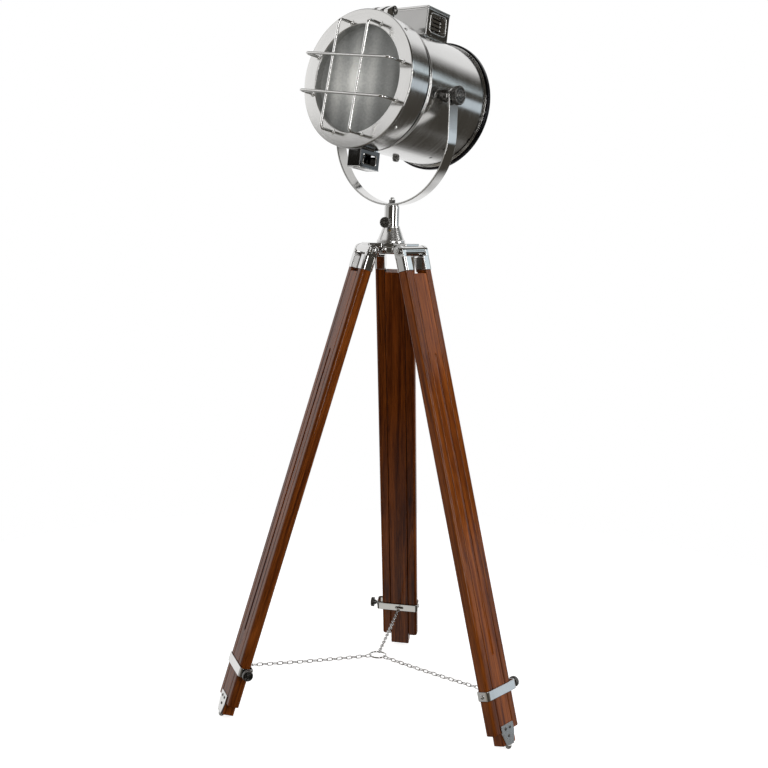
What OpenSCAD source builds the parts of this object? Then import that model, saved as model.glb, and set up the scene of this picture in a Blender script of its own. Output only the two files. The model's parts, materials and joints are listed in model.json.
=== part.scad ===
// Tripod spotlight floor lamp.
// Sizes are in millimetres, angles in degrees. +Z is up and the spotlight faces -Y.
// The origin is on the floor, at the middle of the box that holds the whole lamp.
// A leg's own frame has its hinge bolt at the origin, +X outward, +Y sideways and
// +Z up along the leg. The drum's own frame has its axis along Y and its tilt bolts at y = 0.

/* [Tripod] */
// Height of the leg hinge bolts above the floor
hinge_h = 1050; // [950:10:1150]
// Distance from the tripod's axis to each hinge bolt
hinge_r = 58; // [57:0.5:64]
// Lean of each leg from upright
splay = 16.3; // [14:0.1:18]
// Turn of the tripod under the spotlight
tripod_turn = -1.9; // [-10:0.1:10]

/* [Legs] */
// Radial depth of every slat
slat_d = 26; // [25:1:30]
// Width of the sliding middle slat
inner_w = 46; // [42:1:48]
// Width of each outer slat
outer_w = 21.6; // [19:0.2:22]
// Gap between the middle slat and each outer slat
slat_gap = 0.4; // [0.3:0.1:0.6]
// How far the middle slat stands out below the outer slats
inner_out = 28; // [20:1:60]
// Radius of the flute along the middle slat
flute_r = 4.5; // [3:0.5:6]
// Distance from the hinge bolt to the flute's upper end
flute_top = 235; // [150:5:400]
// Distance from the middle of the clamp band up to the flute's lower end
flute_up = 82; // [60:1:200]
// Distance from the hinge bolt down to a ferrule's lower edge
ferrule_end = 50; // [46:1:60]
// Wall of the ferrules
ferrule_wall = 1.6; // [1.2:0.2:2]
// Thickness of the shoe plate on the foot
shoe_t = 2; // [1.6:0.2:2.4]
// Height of the shoe plate up the outward face
shoe_h = 45; // [40:1:55]
// Radius of the ball under each foot
ball_r = 7; // [6:0.5:8]

/* [Leg clamps] */
// Height of a clamp band's middle above the outer slats' lower ends
clamp_up = 86; // [70:1:120]
// Height of a clamp band
band_h = 20; // [18:1:22]
// Thickness of a clamp band's strip
band_t = 2.5; // [2:0.1:3]
// Room between the outer slat and the band's screw wall
band_room = 12; // [10:1:14]
// Radius of the thumb screws on the clamps and the tube
thumb_r = 12; // [11:0.5:13]

/* [Chain] */
// Number of links in each strand, an odd number
link_n = 25; // [23:2:27]
// Diameter of the links' wire
link_wire = 1.9; // [1.7:0.1:2]
// Inner width of a link
link_in_w = 5; // [4.8:0.1:5.4]
// Radius of the ring that joins the strands, to the middle of its wire
ring_r = 19; // [17:0.5:21]
// Drop of the ring below the eyes of the clamp bands
ring_drop = 7; // [4:0.5:12]

/* [Hub] */
// Height of the hub's flat top above the hinge bolts
hub_top = 16; // [15:0.5:18]
// Height of the cone's upper end above the hinge bolts
cone_top = 53; // [50:1:58]
// Height of the socket tube's upper end above the hinge bolts
tube_top = 96; // [92:1:104]
// Outer radius of the socket tube
tube_r = 16.7; // [16:0.1:18]
// Radius of the yoke's stem
stem_r = 13; // [12:0.5:13.5]

/* [Yoke] */
// Height of the tilt bolts above the yoke's bend
yoke_rise = 77; // [68:1:90]
// Radius of the yoke's bend, to the middle of the strip
yoke_r = 153; // [152:0.5:158]
// Width of the yoke's strip
yoke_w = 32; // [26:1:34]
// Thickness of the yoke's strip
yoke_t = 4; // [3.6:0.2:5]
// Radius of the tilt knobs
knob_r = 20; // [18:0.5:21]
// Tilt of the spotlight above level
tilt = 7; // [0:0.5:15]

/* [Spotlight] */
// Outer radius of the drum
drum_r = 136; // [133:0.5:137]
// Distance of the drum's axis above the tilt bolts
drum_lift = 12; // [8:1:14]
// Distance of the drum's front edge before the tilt bolts
drum_front = 92; // [88:1:95]
// Distance of the drum's rear edge behind the tilt bolts
drum_back = 150; // [145:1:155]
// Thickness of the sheet metal
sheet = 1.5; // [1.2:0.1:1.8]
// Outer radius of the bezel's front edge
bezel_r = 145; // [144:0.5:146]
// Outer radius of the bezel's skirt
skirt_r = 142.3; // [142:0.1:143]
// Radius of the opening in the bezel
opening_r = 112.4; // [108:0.2:116]
// Distance of the bezel's front face before the tilt bolts
bezel_front = 139.8; // [136:0.2:144]
// Distance of the skirt's rear edge before the tilt bolts
skirt_back = 77.5; // [76:0.5:80]
// Outer radius of the rolled rim at the rear
rim_r = 143.6; // [142:0.2:145]

/* [Wire guard] */
// Diameter of the guard's wire
guard_wire = 4.5; // [4:0.25:5]
// Distance of each bar from the middle of the guard
guard_x = 39; // [36:1:44]
// How far the rear bars stand off the bezel, to the middle of the wire
guard_out = 40; // [34:1:44]
// Reach of each bar from its middle to the bend at its end
guard_reach = 114; // [110:1:116]
// Turn of the guard on the bezel
guard_turn = 5.5; // [0:0.5:8]

/* [Vent boxes] */
// Width of the top box
top_w = 100; // [96:1:104]
// Front face of the top box, behind the tilt bolts
top_y0 = 17; // [14:1:24]
// Depth of the top box
top_d = 83; // [76:1:84]
// Height of the top box above the drum's axis
top_h = 190; // [184:1:192]
// Width of the bottom box
low_w = 34; // [32:1:38]
// Front face of the bottom box, before the tilt bolts
low_y0 = 121; // [116:1:124]
// Depth of the bottom box
low_d = 67; // [60:1:70]
// Depth of the bottom box's floor below the drum's axis
low_h = 181; // [178:1:182]

/* [Hidden] */
$fn = 64;

// The three legs, by number
SIDE = 0;
REAR = 1;
FRONT = 2;

// Clearances
run_fit = 0.05; // a shaft that turns in its hole, on the radius
near_gap = 0.3; // faces that pass each other
snug = 0.1; // pieces fixed to one another

// Leg, worked out
half_d = slat_d / 2;
half_in = inner_w / 2;
out_0 = half_in + slat_gap; // an outer slat's inner side
out_1 = out_0 + outer_w; // an outer slat's outer side
slat_round = 7; // radius of an outer slat's two outer corners
inner_round = 2; // radius of the middle slat's corners
ferrule_top = 16; // from the hinge bolt down to the ferrule's shoulder
ferrule_lid = 3;
ear_t = 10.4; // thickness of a ferrule's ear
ear_1 = out_1;
ear_0 = ear_1 - ear_t; // inner side of a ferrule's ear
ear_r = 12.5;
bolt_r = 4;
ball_n = half_d - 5; // the ball's place, outward from the leg's middle
ball_sit = 6.3; // height of the ball's centre, so that its flat rests on the floor
ball_sink = 2.5; // from the shoe's sole to the ball's centre
ball_at = (hinge_h - ball_sit + ball_n * sin(splay)) / cos(splay);
inner_end = ball_at - ball_sink - shoe_t - snug;
outer_end = inner_end - inner_out;
clamp_at = outer_end - clamp_up;
flute_end = clamp_at - flute_up;
inner_top = ferrule_end + 2;
shoe_low_w = 26; // the shoe plate's width at its lower edge
shoe_taper = 26; // height of the tapered part

// Clamp band, worked out
band_in_n = half_d + slat_gap;
band_0 = -(out_1 + snug); // the riveted wall's inner side
band_1 = out_1 + band_room; // the screw wall's inner side
band_round = 7;
thumb_shank = 3;
thumb_neck_r = 5;
thumb_grip = 9; // thickness of a knurled grip
grip_rise = 0.6; // how far a grip's boss stands out of its face
grip_dish = 1.5; // depth of the dish in a grip's face
thumb_back = 8; // from the band's screw wall out to the grip
eye_half = 10; // half the length of the eye's bridge
eye_bulge = 4.5; // how far the bridge stands in from the band
eye_h = 3; // height of the bridge's bar
eye_room = 2; // the opening behind the bridge, above and below its bar
eye_r = (eye_half * eye_half + eye_bulge * eye_bulge) / (2 * eye_bulge);
// From the bridge to the link that holds it, so that the link's round end clears the bar's edges
eye_gap = link_in_w / 2 - sqrt(pow(link_in_w / 2, 2) - pow(eye_h / 2, 2)) + near_gap;

// Chain, worked out in the plane of a leg: r is the distance from the tripod's axis
link_play = 0.25;
ring_wire = 3;
hook_n = -(band_in_n + eye_bulge - eye_gap);
hook_r = hinge_r + hook_n * cos(splay) + clamp_at * sin(splay);
hook_z = hinge_h + hook_n * sin(splay) - clamp_at * cos(splay);
ring_z = hook_z - ring_drop;
last_r = ring_r - ring_wire / 2 - link_play;
strand_l = norm([hook_r - last_r, ring_drop]);
pitch = (strand_l - link_play) / link_n;
link_in_l = pitch + link_play;
strand_sag = 2; // dip of a strand below the straight line

// How far each leg reaches from the tripod's axis towards a compass direction: the largest of
// its outer slats' lower ends, its shoe, its ball and its thumb screw. These place the axis.
function leg_az(i) = tripod_turn + 120 * i;
function out_at(n, s) = hinge_r + n * cos(splay) + s * sin(splay);
function slats_to(a) = out_at(0, outer_end) * cos(a) + abs((half_d - slat_round) * cos(splay) * cos(a))
    + (out_1 - slat_round) * abs(sin(a)) + slat_round * norm([cos(splay) * cos(a), sin(a)]);
function shoe_to(a) = out_at(half_d + snug + shoe_t, inner_end + snug + shoe_t) * cos(a)
    + shoe_low_w / 2 * abs(sin(a));
function thumb_to(a) = out_at(0, clamp_at) * cos(a) + thumb_r * abs(cos(a)) + thumb_out * sin(a);
function ball_to(a) = out_at(ball_n, ball_at) * cos(a) + ball_r;
function leg_to(a) = max(slats_to(a), shoe_to(a), ball_to(a), thumb_to(a));
function reach_to(dir) = max([for (i = [SIDE, REAR, FRONT]) leg_to(dir - leg_az(i))]);
thumb_out = band_1 + snug + band_t + thumb_back + thumb_grip + grip_rise;
axis_x = (reach_to(180) - reach_to(0)) / 2;
axis_y = (reach_to(270) - reach_to(90)) / 2;

// Hub, worked out
hub_r = 34;
lug_over = 10; // how far a lug stands out past its arm on each side
arm_w = 2 * (ear_0 - near_gap - lug_over);
arm_h = 22;
arm_t = 10; // thickness of the hub's plate
lug_r = 12;
cone_base_r = 30.5;
base_t = 6;
thumb_az = -77; // the way the tube's thumb screw points
thumb_z = 61; // height of the thumb screw above the hinge bolts
set_az = -61;
set_z = 44;

// Yoke, worked out
yoke_out = yoke_r + yoke_t / 2;
yoke_in = yoke_r - yoke_t / 2;
yoke_low = hinge_h + tube_top + 2; // underside of the yoke's bend
bend_z = yoke_low + yoke_out;
pivot_h = bend_z + yoke_rise;
stud_r = 4;
yoke_seat = 0.8; // a flat seat for the nut, above the strip's inner side
nut_h = 7;
tilt_bolt_r = 5;
boss_r = 14;
boss_end = yoke_in - near_gap;
tilt_grip = 12;

// Spotlight, worked out
drum_in = drum_r - sheet;
bead_y = -66;
bead_h = 2.5;
slot_rows = [86, 135];
slot_turns = [21, 37.5, 54];
hinge_y = -70;
hinge_z = 157;
barrel_r = 10;
barrel_l = 58;
leaf_spans = [[-29, 9.7], [-9.3, 18.6], [19.3, 9.7]]; // start and width of the leaf's knuckles
leaf_reach = 26;
skirt_edge = -skirt_back;
bowl_back_r = 24;
bowl_mouth_r = drum_r - 18;
bowl_y = 20; // the bowl's back, behind the tilt bolts
pin_r = 4;
lens_t = 4;
lens_r = 122;
lip_y = 121; // rear edge of the bezel's inner lip
rim_h = 12;
gland_y = 24;
box_wall = 2;
window_rim = 12; // from the top box's edges to its windows
window_h = top_h - window_rim - drum_r;
low_room = low_h - skirt_r; // depth of the bottom box below the skirt
screw_turns = [45, 135, 225, 315];
keeper_y = -60;
keeper_h = 3.5;

module on_axis() { translate([axis_x, axis_y, 0]) children(); }
module on_leg(i) {
    on_axis() rotate([0, 0, leg_az(i)]) translate([hinge_r, 0, hinge_h])
        rotate([0, -splay, 0]) children();
}
module on_head() { translate([axis_x, axis_y, pivot_h]) rotate([-tilt, 0, 0]) children(); }
module on_drum() { on_head() translate([0, 0, drum_lift]) children(); }
// A shape turned about Z is laid with that axis along -Y, X, or -X
module to_front() { rotate([90, 0, 0]) children(); }
module to_right() { rotate([0, 90, 0]) children(); }
module to_left() { rotate([0, -90, 0]) children(); }
// A shape along Z is laid along +Y
module to_side() { rotate([-90, 0, 0]) children(); }

// The drum's outside, larger all round by clear, to fit what sits on it
module drum_shape(clear) {
    translate([0, drum_back + 50, 0]) to_front() cylinder(r = drum_r + clear, h = drum_back + drum_front + 60, $fn = 256);
}
// The bezel skirt's outside, larger all round by clear
module skirt_shape(clear) { to_front() cylinder(r = skirt_r + clear, h = 200, $fn = 256); }

// A rectangle with round corners, made of exact circles; lo and hi are opposite corners
module round_rect(lo, hi, r) {
    translate([lo.x + r, lo.y]) square([hi.x - lo.x - 2 * r, hi.y - lo.y]);
    translate([lo.x, lo.y + r]) square([hi.x - lo.x, hi.y - lo.y - 2 * r]);
    for (x = [lo.x + r, hi.x - r], y = [lo.y + r, hi.y - r])
        translate([x, y]) circle(r = r);
}

// A knurled grip: a many-toothed outline with a dished face and a round boss
module grip(r, h, teeth) {
    tooth = r * 0.05;
    difference() {
        linear_extrude(h) polygon([for (i = [0 : 2 * teeth - 1])
            (i % 2 == 0 ? r : r - tooth) * [cos(180 * i / teeth), sin(180 * i / teeth)]]);
        translate([0, 0, h - grip_dish]) cylinder(r = r * 0.78, h = 2 * grip_dish);
    }
    translate([0, 0, h - grip_dish - snug]) cylinder(r = r * 0.55, h = grip_dish);
    translate([0, 0, h - grip_dish - snug]) cylinder(r = r * 0.25, h = grip_dish + snug + grip_rise);
}

// ---- Hub ----

module hub_spider() {
    color("silver") on_axis() translate([0, 0, hinge_h]) difference() {
        union() {
            translate([0, 0, hub_top - arm_h]) cylinder(r = hub_r, h = arm_h - 1);
            translate([0, 0, hub_top - arm_t]) linear_extrude(arm_t) {
                circle(r = hub_r + 4);
                for (i = [SIDE, REAR, FRONT]) rotate([0, 0, leg_az(i)])
                    translate([hub_r - 10, -arm_w / 2]) square([hinge_r + 14 - hub_r, arm_w]);
            }
            for (i = [SIDE, REAR, FRONT]) rotate([0, 0, leg_az(i)]) {
                translate([hinge_r - 4, -arm_w / 2 + 3, hub_top - arm_t - 8]) cube([8, arm_w - 6, 10]);
                translate([hinge_r, -(ear_0 - near_gap), 0]) to_side()
                    cylinder(r = lug_r, h = 2 * (ear_0 - near_gap));
            }
        }
        for (i = [SIDE, REAR, FRONT]) rotate([0, 0, leg_az(i)])
            translate([hinge_r, -ear_1, 0]) to_side() cylinder(r = bolt_r + run_fit, h = 2 * ear_1);
        translate([0, 0, -arm_h]) cylinder(r = tube_r + snug, h = 3 * arm_h);
    }
}

module hub_cone() {
    color("silver") on_axis() translate([0, 0, hinge_h + hub_top]) difference() {
        union() {
            cylinder(r = cone_base_r + 1, h = base_t);
            translate([0, 0, base_t]) cylinder(r1 = cone_base_r, r2 = tube_r + 1,
                h = cone_top - hub_top - base_t);
        }
        translate([0, 0, -1]) cylinder(r = tube_r + snug, h = cone_top);
        translate([0, 0, set_z - hub_top]) rotate([0, 0, set_az]) to_right()
            cylinder(r = 2.5 + snug, h = 2 * hub_r);
    }
}

module socket_tube() {
    color("silver") on_axis() translate([0, 0, hinge_h]) difference() {
        translate([0, 0, hub_top - arm_h + 1]) cylinder(r = tube_r, h = tube_top + arm_h - hub_top - 1);
        translate([0, 0, hub_top]) cylinder(r = stem_r + run_fit, h = tube_top);
        translate([0, 0, thumb_z]) rotate([0, 0, thumb_az]) to_right()
            cylinder(r = thumb_shank + run_fit, h = 2 * tube_r);
    }
}

module tube_set_screw() {
    color("gold") on_axis() translate([0, 0, hinge_h + set_z]) rotate([0, 0, set_az]) to_right() difference() {
        translate([0, 0, tube_r + 0.2]) cylinder(r = 2.5, h = 5.5);
        translate([-3, -0.5, tube_r + 4.9]) cube([6, 1, 2]);
    }
}

// A thumb screw along Z: its tip at z = 0, its grip from z = reach
module thumb_screw(reach) {
    cylinder(r = thumb_shank, h = reach);
    translate([0, 0, reach - 5]) cylinder(r1 = thumb_neck_r, r2 = thumb_neck_r + 1.5, h = 5);
    translate([0, 0, reach]) grip(thumb_r, thumb_grip, 30);
}

module tube_thumb_screw() {
    color("dimgray") on_axis() translate([0, 0, hinge_h + thumb_z]) rotate([0, 0, thumb_az])
        to_right() translate([0, 0, stem_r + snug]) thumb_screw(16);
}

// ---- Legs ----

// Section of the outer slat on the +Y side, larger all round by grow
module slat_section(grow) {
    r = slat_round + grow;
    translate([-half_d - grow, out_0 - grow]) square([slat_d + 2 * grow, outer_w + 2 * grow - r]);
    translate([-half_d - grow + r, out_0 - grow]) square([slat_d + 2 * grow - 2 * r, outer_w + 2 * grow]);
    for (side = [-1, 1])
        translate([side * (half_d + grow - r), out_1 + grow - r]) circle(r = r);
}

// Both sides of a leg
module pair() {
    children();
    mirror([0, 1, 0]) children();
}

module outer_slats(i) {
    color("sienna") on_leg(i) pair()
        translate([0, 0, -outer_end]) linear_extrude(outer_end - ferrule_top - snug) slat_section(0);
}

module ferrules(i) {
    color("silver") on_leg(i) pair() difference() {
        union() {
            translate([0, 0, -ferrule_end]) linear_extrude(ferrule_end - ferrule_top + ferrule_lid)
                slat_section(ferrule_wall);
            translate([-ear_r, ear_0, -ferrule_top]) cube([2 * ear_r, ear_1 - ear_0, ferrule_top]);
            translate([0, ear_0, 0]) to_side() cylinder(r = ear_r, h = ear_1 - ear_0);
        }
        translate([0, 0, -ferrule_end - 1]) linear_extrude(ferrule_end - ferrule_top + 1)
            slat_section(snug);
        translate([0, ear_0 - 1, 0]) to_side() cylinder(r = bolt_r + snug, h = outer_w + 2);
    }
}

module hinge_bolt(i) {
    color("silver") on_leg(i) {
        translate([0, -ear_1 - 9, 0]) to_side() cylinder(r = bolt_r, h = 2 * ear_1 + 12);
        translate([0, ear_1 + snug, 0]) to_side() cylinder(r = 9, h = 1.5);
        translate([0, ear_1 + snug + 1.5, 0]) to_side() intersection() {
            translate([0, 0, -3]) sphere(r = 9);
            cylinder(r = 9, h = 7);
        }
        translate([0, -ear_1 - snug - 1.5, 0]) to_side() cylinder(r = 9, h = 1.5);
        translate([0, -ear_1 - snug - 7.5, 0]) to_side() cylinder(r = 8, h = 6, $fn = 6);
    }
}

module inner_slat(i) {
    color("sienna") on_leg(i) difference() {
        translate([0, 0, -inner_end]) linear_extrude(inner_end - inner_top)
            round_rect([-half_d, -half_in], [half_d, half_in], inner_round);
        translate([half_d + 1, 0, -flute_end]) cylinder(r = flute_r, h = flute_end - flute_top);
        translate([half_d + 1, 0, -flute_end]) sphere(r = flute_r);
        translate([half_d + 1, 0, -flute_top]) sphere(r = flute_r);
        shoe_screw_places() cylinder(r = 2 + snug, h = 16);
    }
}

// Three screws in a triangle, pointing in through the shoe plate
module shoe_screw_places() {
    for (p = [[-8, 34], [8, 34], [0, 18]])
        translate([half_d + shoe_t + snug, p.x, -inner_end + p.y]) to_left() children();
}

module foot_shoe(i) {
    color("silver") on_leg(i) difference() {
        union() {
            translate([half_d + snug, 0, -inner_end - snug - shoe_t]) to_right() rotate([0, 0, 90])
                linear_extrude(shoe_t) polygon([
                    [-shoe_low_w / 2, 0], [shoe_low_w / 2, 0], [half_in - 1, shoe_taper],
                    [half_in - 1, shoe_h], [1 - half_in, shoe_h], [1 - half_in, shoe_taper]]);
            translate([-4, -shoe_low_w / 2, -inner_end - snug - shoe_t])
                cube([half_d + snug + shoe_t + 4, shoe_low_w, shoe_t]);
            intersection() {
                translate([ball_n, 0, -ball_at]) sphere(r = ball_r);
                translate([ball_n, 0, -ball_at]) rotate([0, splay, 0])
                    translate([-50, -50, -ball_sit]) cube(100);
                translate([-50, -50, -inner_end - snug - shoe_t - 100]) cube([100, 100, 100.5]);
            }
        }
        shoe_screw_places() translate([0, 0, -1]) cylinder(r = 2 + snug, h = 16);
    }
}

module shoe_screws(i) {
    color("gray") on_leg(i) shoe_screw_places() {
        cylinder(r = 2, h = 15);
        translate([0, 0, -1.4]) cylinder(r1 = 2.6, r2 = 3.4, h = 1.3);
    }
}

module clamp_band(i) {
    color("silver") on_leg(i) translate([0, 0, -clamp_at]) {
        difference() {
            translate([0, 0, -band_h / 2]) linear_extrude(band_h) difference() {
                round_rect([-band_in_n - band_t, band_0 - band_t], [band_in_n + band_t, band_1 + band_t],
                    band_round);
                round_rect([-band_in_n, band_0], [band_in_n, band_1], band_round - band_t);
            }
            translate([0, band_1 - 1, 0]) to_side() cylinder(r = thumb_shank + run_fit, h = band_t + 2);
            translate([-band_in_n - band_t - 1, -eye_half, -eye_h / 2 - eye_room])
                cube([band_t + 2, 2 * eye_half, eye_h + 2 * eye_room]);
        }
        // The eye: a bar lanced out of the strip, bowed towards the tripod's axis
        translate([eye_r - band_in_n - eye_bulge, 0, -eye_h / 2]) intersection() {
            difference() {
                cylinder(r = eye_r + band_t, h = eye_h);
                translate([0, 0, -1]) cylinder(r = eye_r, h = eye_h + 2);
            }
            translate([-eye_r - band_t - 1, -eye_half - 1, 0]) cube([eye_bulge + 1, 2 * eye_half + 2, eye_h]);
        }
        translate([0, band_0 - band_t + 0.5, 0]) rotate([90, 0, 0]) intersection() {
            translate([0, 0, -3]) sphere(r = 5.5);
            cylinder(r = 5.5, h = 5);
        }
    }
}

module clamp_screw(i) {
    color("dimgray") on_leg(i) translate([0, out_1 + snug, -clamp_at]) to_side()
        thumb_screw(band_room + band_t + thumb_back);
}

// ---- Chain ----

// One oval wire link along X, lying flat
module link() {
    straight = link_in_l - link_in_w;
    mid = (link_in_w + link_wire) / 2;
    for (side = [-1, 1]) {
        translate([-straight / 2, side * mid, 0]) to_right() cylinder(r = link_wire / 2, h = straight, $fn = 24);
        translate([side * straight / 2, 0, 0]) rotate([0, 0, -90 * side])
            rotate_extrude(angle = 180) translate([mid, 0]) circle(r = link_wire / 2, $fn = 24);
    }
}

// Height of a strand at u, from 0 at the clamp to 1 at the ring
function strand_z(u) = hook_z - ring_drop * u - 4 * strand_sag * u * (1 - u);
function strand_slope(u) = -ring_drop - 4 * strand_sag * (1 - 2 * u);

module chain(i) {
    span = hook_r - last_r;
    first = link_in_l / 2;
    color("lightgray") on_axis() rotate([0, 0, leg_az(i)]) for (k = [0 : link_n - 1]) {
        u = (first + k * pitch) / strand_l;
        translate([hook_r - u * span, 0, strand_z(u)]) rotate([0, -atan2(strand_slope(u), -span), 0])
            rotate([k % 2 == 0 ? 90 : 0, 0, 0]) link();
    }
}

module chain_ring() {
    color("lightgray") on_axis() translate([0, 0, ring_z]) rotate_extrude()
        translate([ring_r, 0]) circle(r = ring_wire / 2, $fn = 32);
}

// ---- Yoke ----

module yoke() {
    color("lightgray") on_axis() difference() {
        union() {
            translate([0, 0, bend_z]) rotate([90, 180, 0]) rotate_extrude(angle = 180)
                translate([yoke_in, -yoke_w / 2]) square([yoke_t, yoke_w]);
            for (side = [0, 180]) rotate([0, 0, side]) {
                translate([yoke_in, -yoke_w / 2, bend_z]) cube([yoke_t, yoke_w, pivot_h - bend_z]);
                translate([yoke_in, 0, pivot_h]) to_right() cylinder(r = yoke_w / 2, h = yoke_t);
            }
            translate([0, 0, yoke_low]) cylinder(r = yoke_w / 2 - 1, h = yoke_t + yoke_seat);
        }
        translate([0, 0, yoke_low - 1]) cylinder(r = stud_r + snug, h = 3 * yoke_t);
        translate([-2 * yoke_r, 0, pivot_h]) to_right() cylinder(r = tilt_bolt_r + run_fit, h = 4 * yoke_r);
    }
}

module yoke_stem() {
    color("silver") on_axis() {
        translate([0, 0, hinge_h + hub_top + 6]) cylinder(r = stem_r, h = tube_top - hub_top - 6);
        translate([0, 0, hinge_h + tube_top + 0.1]) cylinder(r = tube_r - 1, h = 1.8);
        translate([0, 0, hinge_h + tube_top]) cylinder(r = stud_r, h = 20);
    }
}

module stem_nut() {
    color("dimgray") on_axis() translate([0, 0, yoke_low + yoke_t + yoke_seat + snug]) difference() {
        union() {
            cylinder(r = 9, h = 1.5);
            translate([0, 0, 1.5]) cylinder(r = 7.5, h = nut_h, $fn = 6);
        }
        translate([0, 0, -1]) cylinder(r = stud_r + snug, h = nut_h + 4);
    }
}

// A tilt knob along Z, from the boss's threaded hole outward
module tilt_knob() {
    cylinder(r = tilt_bolt_r, h = 30);
    translate([0, 0, yoke_out - boss_end + 16 + near_gap]) cylinder(r = 11, h = 2);
    translate([0, 0, yoke_out - boss_end + 18 + near_gap]) cylinder(r1 = 9, r2 = 11, h = 5);
    translate([0, 0, yoke_out - boss_end + 20 + near_gap]) grip(knob_r, tilt_grip, 44);
}

module right_tilt_knob() { color("dimgray") on_head() translate([boss_end - 16, 0, 0]) to_right() tilt_knob(); }
module left_tilt_knob() { color("dimgray") on_head() translate([16 - boss_end, 0, 0]) to_left() tilt_knob(); }

// ---- Drum and what it carries ----

module drum() {
    color("gainsboro") on_drum() difference() {
        union() {
            translate([0, drum_back, 0]) to_front() cylinder(r = drum_r, h = drum_back + drum_front);
            translate([0, bead_y, 0]) to_front() rotate_extrude() translate([drum_r, 0]) circle(r = bead_h);
        }
        translate([0, drum_back + 1, 0]) to_front() cylinder(r = drum_in, h = drum_back + drum_front + 2);
        translate([0, 0, -drum_lift]) translate([-2 * drum_r, 0, 0]) to_right()
            cylinder(r = boss_r + snug, h = 4 * drum_r);
        // Vent slots, in two rows round the underside
        for (y = slot_rows, turn = slot_turns, side = [-1, 1]) rotate([0, side * turn, 0])
            translate([0, y, 0]) mirror([0, 0, 1]) slot(9, 2.2, 2 * drum_r);
        // Draught hole under the top box
        translate([-32, top_y0 + 14, 0]) cube([64, top_d - 28, 2 * drum_r]);
        translate([0, gland_y, -2 * drum_r]) cylinder(r = 5, h = 2 * drum_r);
        case_screw_places() translate([0, 0, -5]) cylinder(r = 1.5 + snug, h = 20);
    }
}

// A slot along X, up from the XY plane
module slot(l, r, h) {
    translate([-l / 2 + r, -r, 0]) cube([l - 2 * r, 2 * r, h]);
    for (x = [r - l / 2, l / 2 - r]) translate([x, 0, 0]) cylinder(r = r, h = h, $fn = 24);
}

module rear_cap() {
    dome_r = 620;
    color("silver") on_drum() {
        translate([0, drum_back + rim_h - 4, 0]) to_front() difference() {
            cylinder(r = rim_r, h = rim_h);
            translate([0, 0, 2]) cylinder(r = drum_r + snug, h = rim_h);
            translate([0, 0, -1]) cylinder(r = drum_r - 8, h = rim_h);
        }
        translate([0, drum_back + rim_h - 4, 0]) to_side() difference() {
            intersection() {
                translate([0, 0, 14 - dome_r]) sphere(r = dome_r, $fn = 128);
                cylinder(r = drum_r - 4, h = 20);
            }
            translate([0, 0, 14 - dome_r - sheet]) sphere(r = dome_r, $fn = 128);
            translate([0, 0, -1]) cylinder(r = 100, h = 1);
        }
        translate([0, drum_back + rim_h - 5, 0]) to_side() difference() {
            cylinder(r = drum_r - 4, h = 2);
            translate([0, 0, -1]) cylinder(r = drum_r - 9, h = 4);
        }
    }
}

module tilt_bosses() {
    color("dimgray") on_head() for (side = [0, 180]) rotate([0, 0, side]) difference() {
        union() {
            translate([drum_in - 9, 0, 0]) to_right() cylinder(r = boss_r, h = boss_end - drum_in + 9);
            translate([drum_in - 9, 0, 0]) to_right() cylinder(r = boss_r + 5, h = 3);
        }
        translate([drum_in - 10, 0, 0]) to_right() cylinder(r = tilt_bolt_r + run_fit, h = 40);
    }
}

// Top box: open below, with a window in each side, on a flange that follows the drum
module top_box() {
    flange = 7;
    color("silver") on_drum() difference() {
        union() {
            translate([-top_w / 2, top_y0, 100]) cube([top_w, top_d, top_h - 100]);
            intersection() {
                translate([-top_w / 2 - flange, top_y0 - flange, 0])
                    cube([top_w + 2 * flange, top_d + 2 * flange, top_h]);
                drum_shape(2);
            }
        }
        translate([-top_w / 2 + box_wall, top_y0 + box_wall, 0])
            cube([top_w - 2 * box_wall, top_d - 2 * box_wall, top_h - box_wall]);
        drum_shape(snug);
        translate([-top_w, 0, 0]) to_right() linear_extrude(2 * top_w) window(0);
        case_screw_places() translate([0, 0, -5]) cylinder(r = 1.5 + snug, h = 20);
    }
}

// The side window's outline, smaller all round by inset: from the drum's top line up to a rim under the roof
module window(inset) {
    round_rect([window_rim - top_h + inset, top_y0 + window_rim + inset],
        [-drum_r - inset, top_y0 + top_d - window_rim - inset], window_h * 0.214 - inset);
}

// Two pressed panels that close the windows, set in from the sides
module vent_panels() {
    depth = 7;
    color("gray") on_drum() for (side = [-1, 1]) {
        x = side * (top_w / 2 - box_wall - snug - depth / 2);
        translate([x - depth / 2, 0, 0]) to_right() linear_extrude(depth) difference() {
            window(-3);
            window(0.5);
        }
        translate([x - side * (depth / 2 - 0.75) - 0.75, 0, 0]) to_right() difference() {
            linear_extrude(1.5) window(-3);
            for (k = [1 : 4]) translate([-drum_r - window_h * k / 5, top_y0 + top_d / 2, -1])
                rotate([0, 0, 90]) slot(top_d / 2, 1.5, 4);
        }
    }
}

// Screws through the top box's flange, pointing in to the drum's axis
module case_screw_places() {
    reach = (top_w + 7) / 2;
    for (turn = [-1, 1] * asin(reach / drum_r), y = [top_y0 + 12, top_y0 + top_d - 12])
        rotate([0, turn, 0]) translate([0, y, drum_r]) children();
}

module case_screws() {
    color("gray") on_drum() case_screw_places() {
        translate([0, 0, -4]) cylinder(r = 1.5, h = 7);
        translate([0, 0, 2.1]) cylinder(r1 = 3.2, r2 = 2.2, h = 1.6);
    }
}

module cable_gland() {
    color("dimgray") on_drum() translate([0, gland_y, -drum_r]) difference() {
        union() {
            translate([0, 0, -13]) cylinder(r = 5.5, h = 8);
            translate([0, 0, -6]) cylinder(r = 8.5, h = 6 - snug, $fn = 6);
            translate([0, 0, -7]) cylinder(r = 4.9, h = 12);
            translate([0, 0, sheet + 0.5]) cylinder(r = 8, h = 3.5, $fn = 6);
        }
        translate([0, 0, -20]) cylinder(r = 3.6, h = 40);
    }
}

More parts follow.
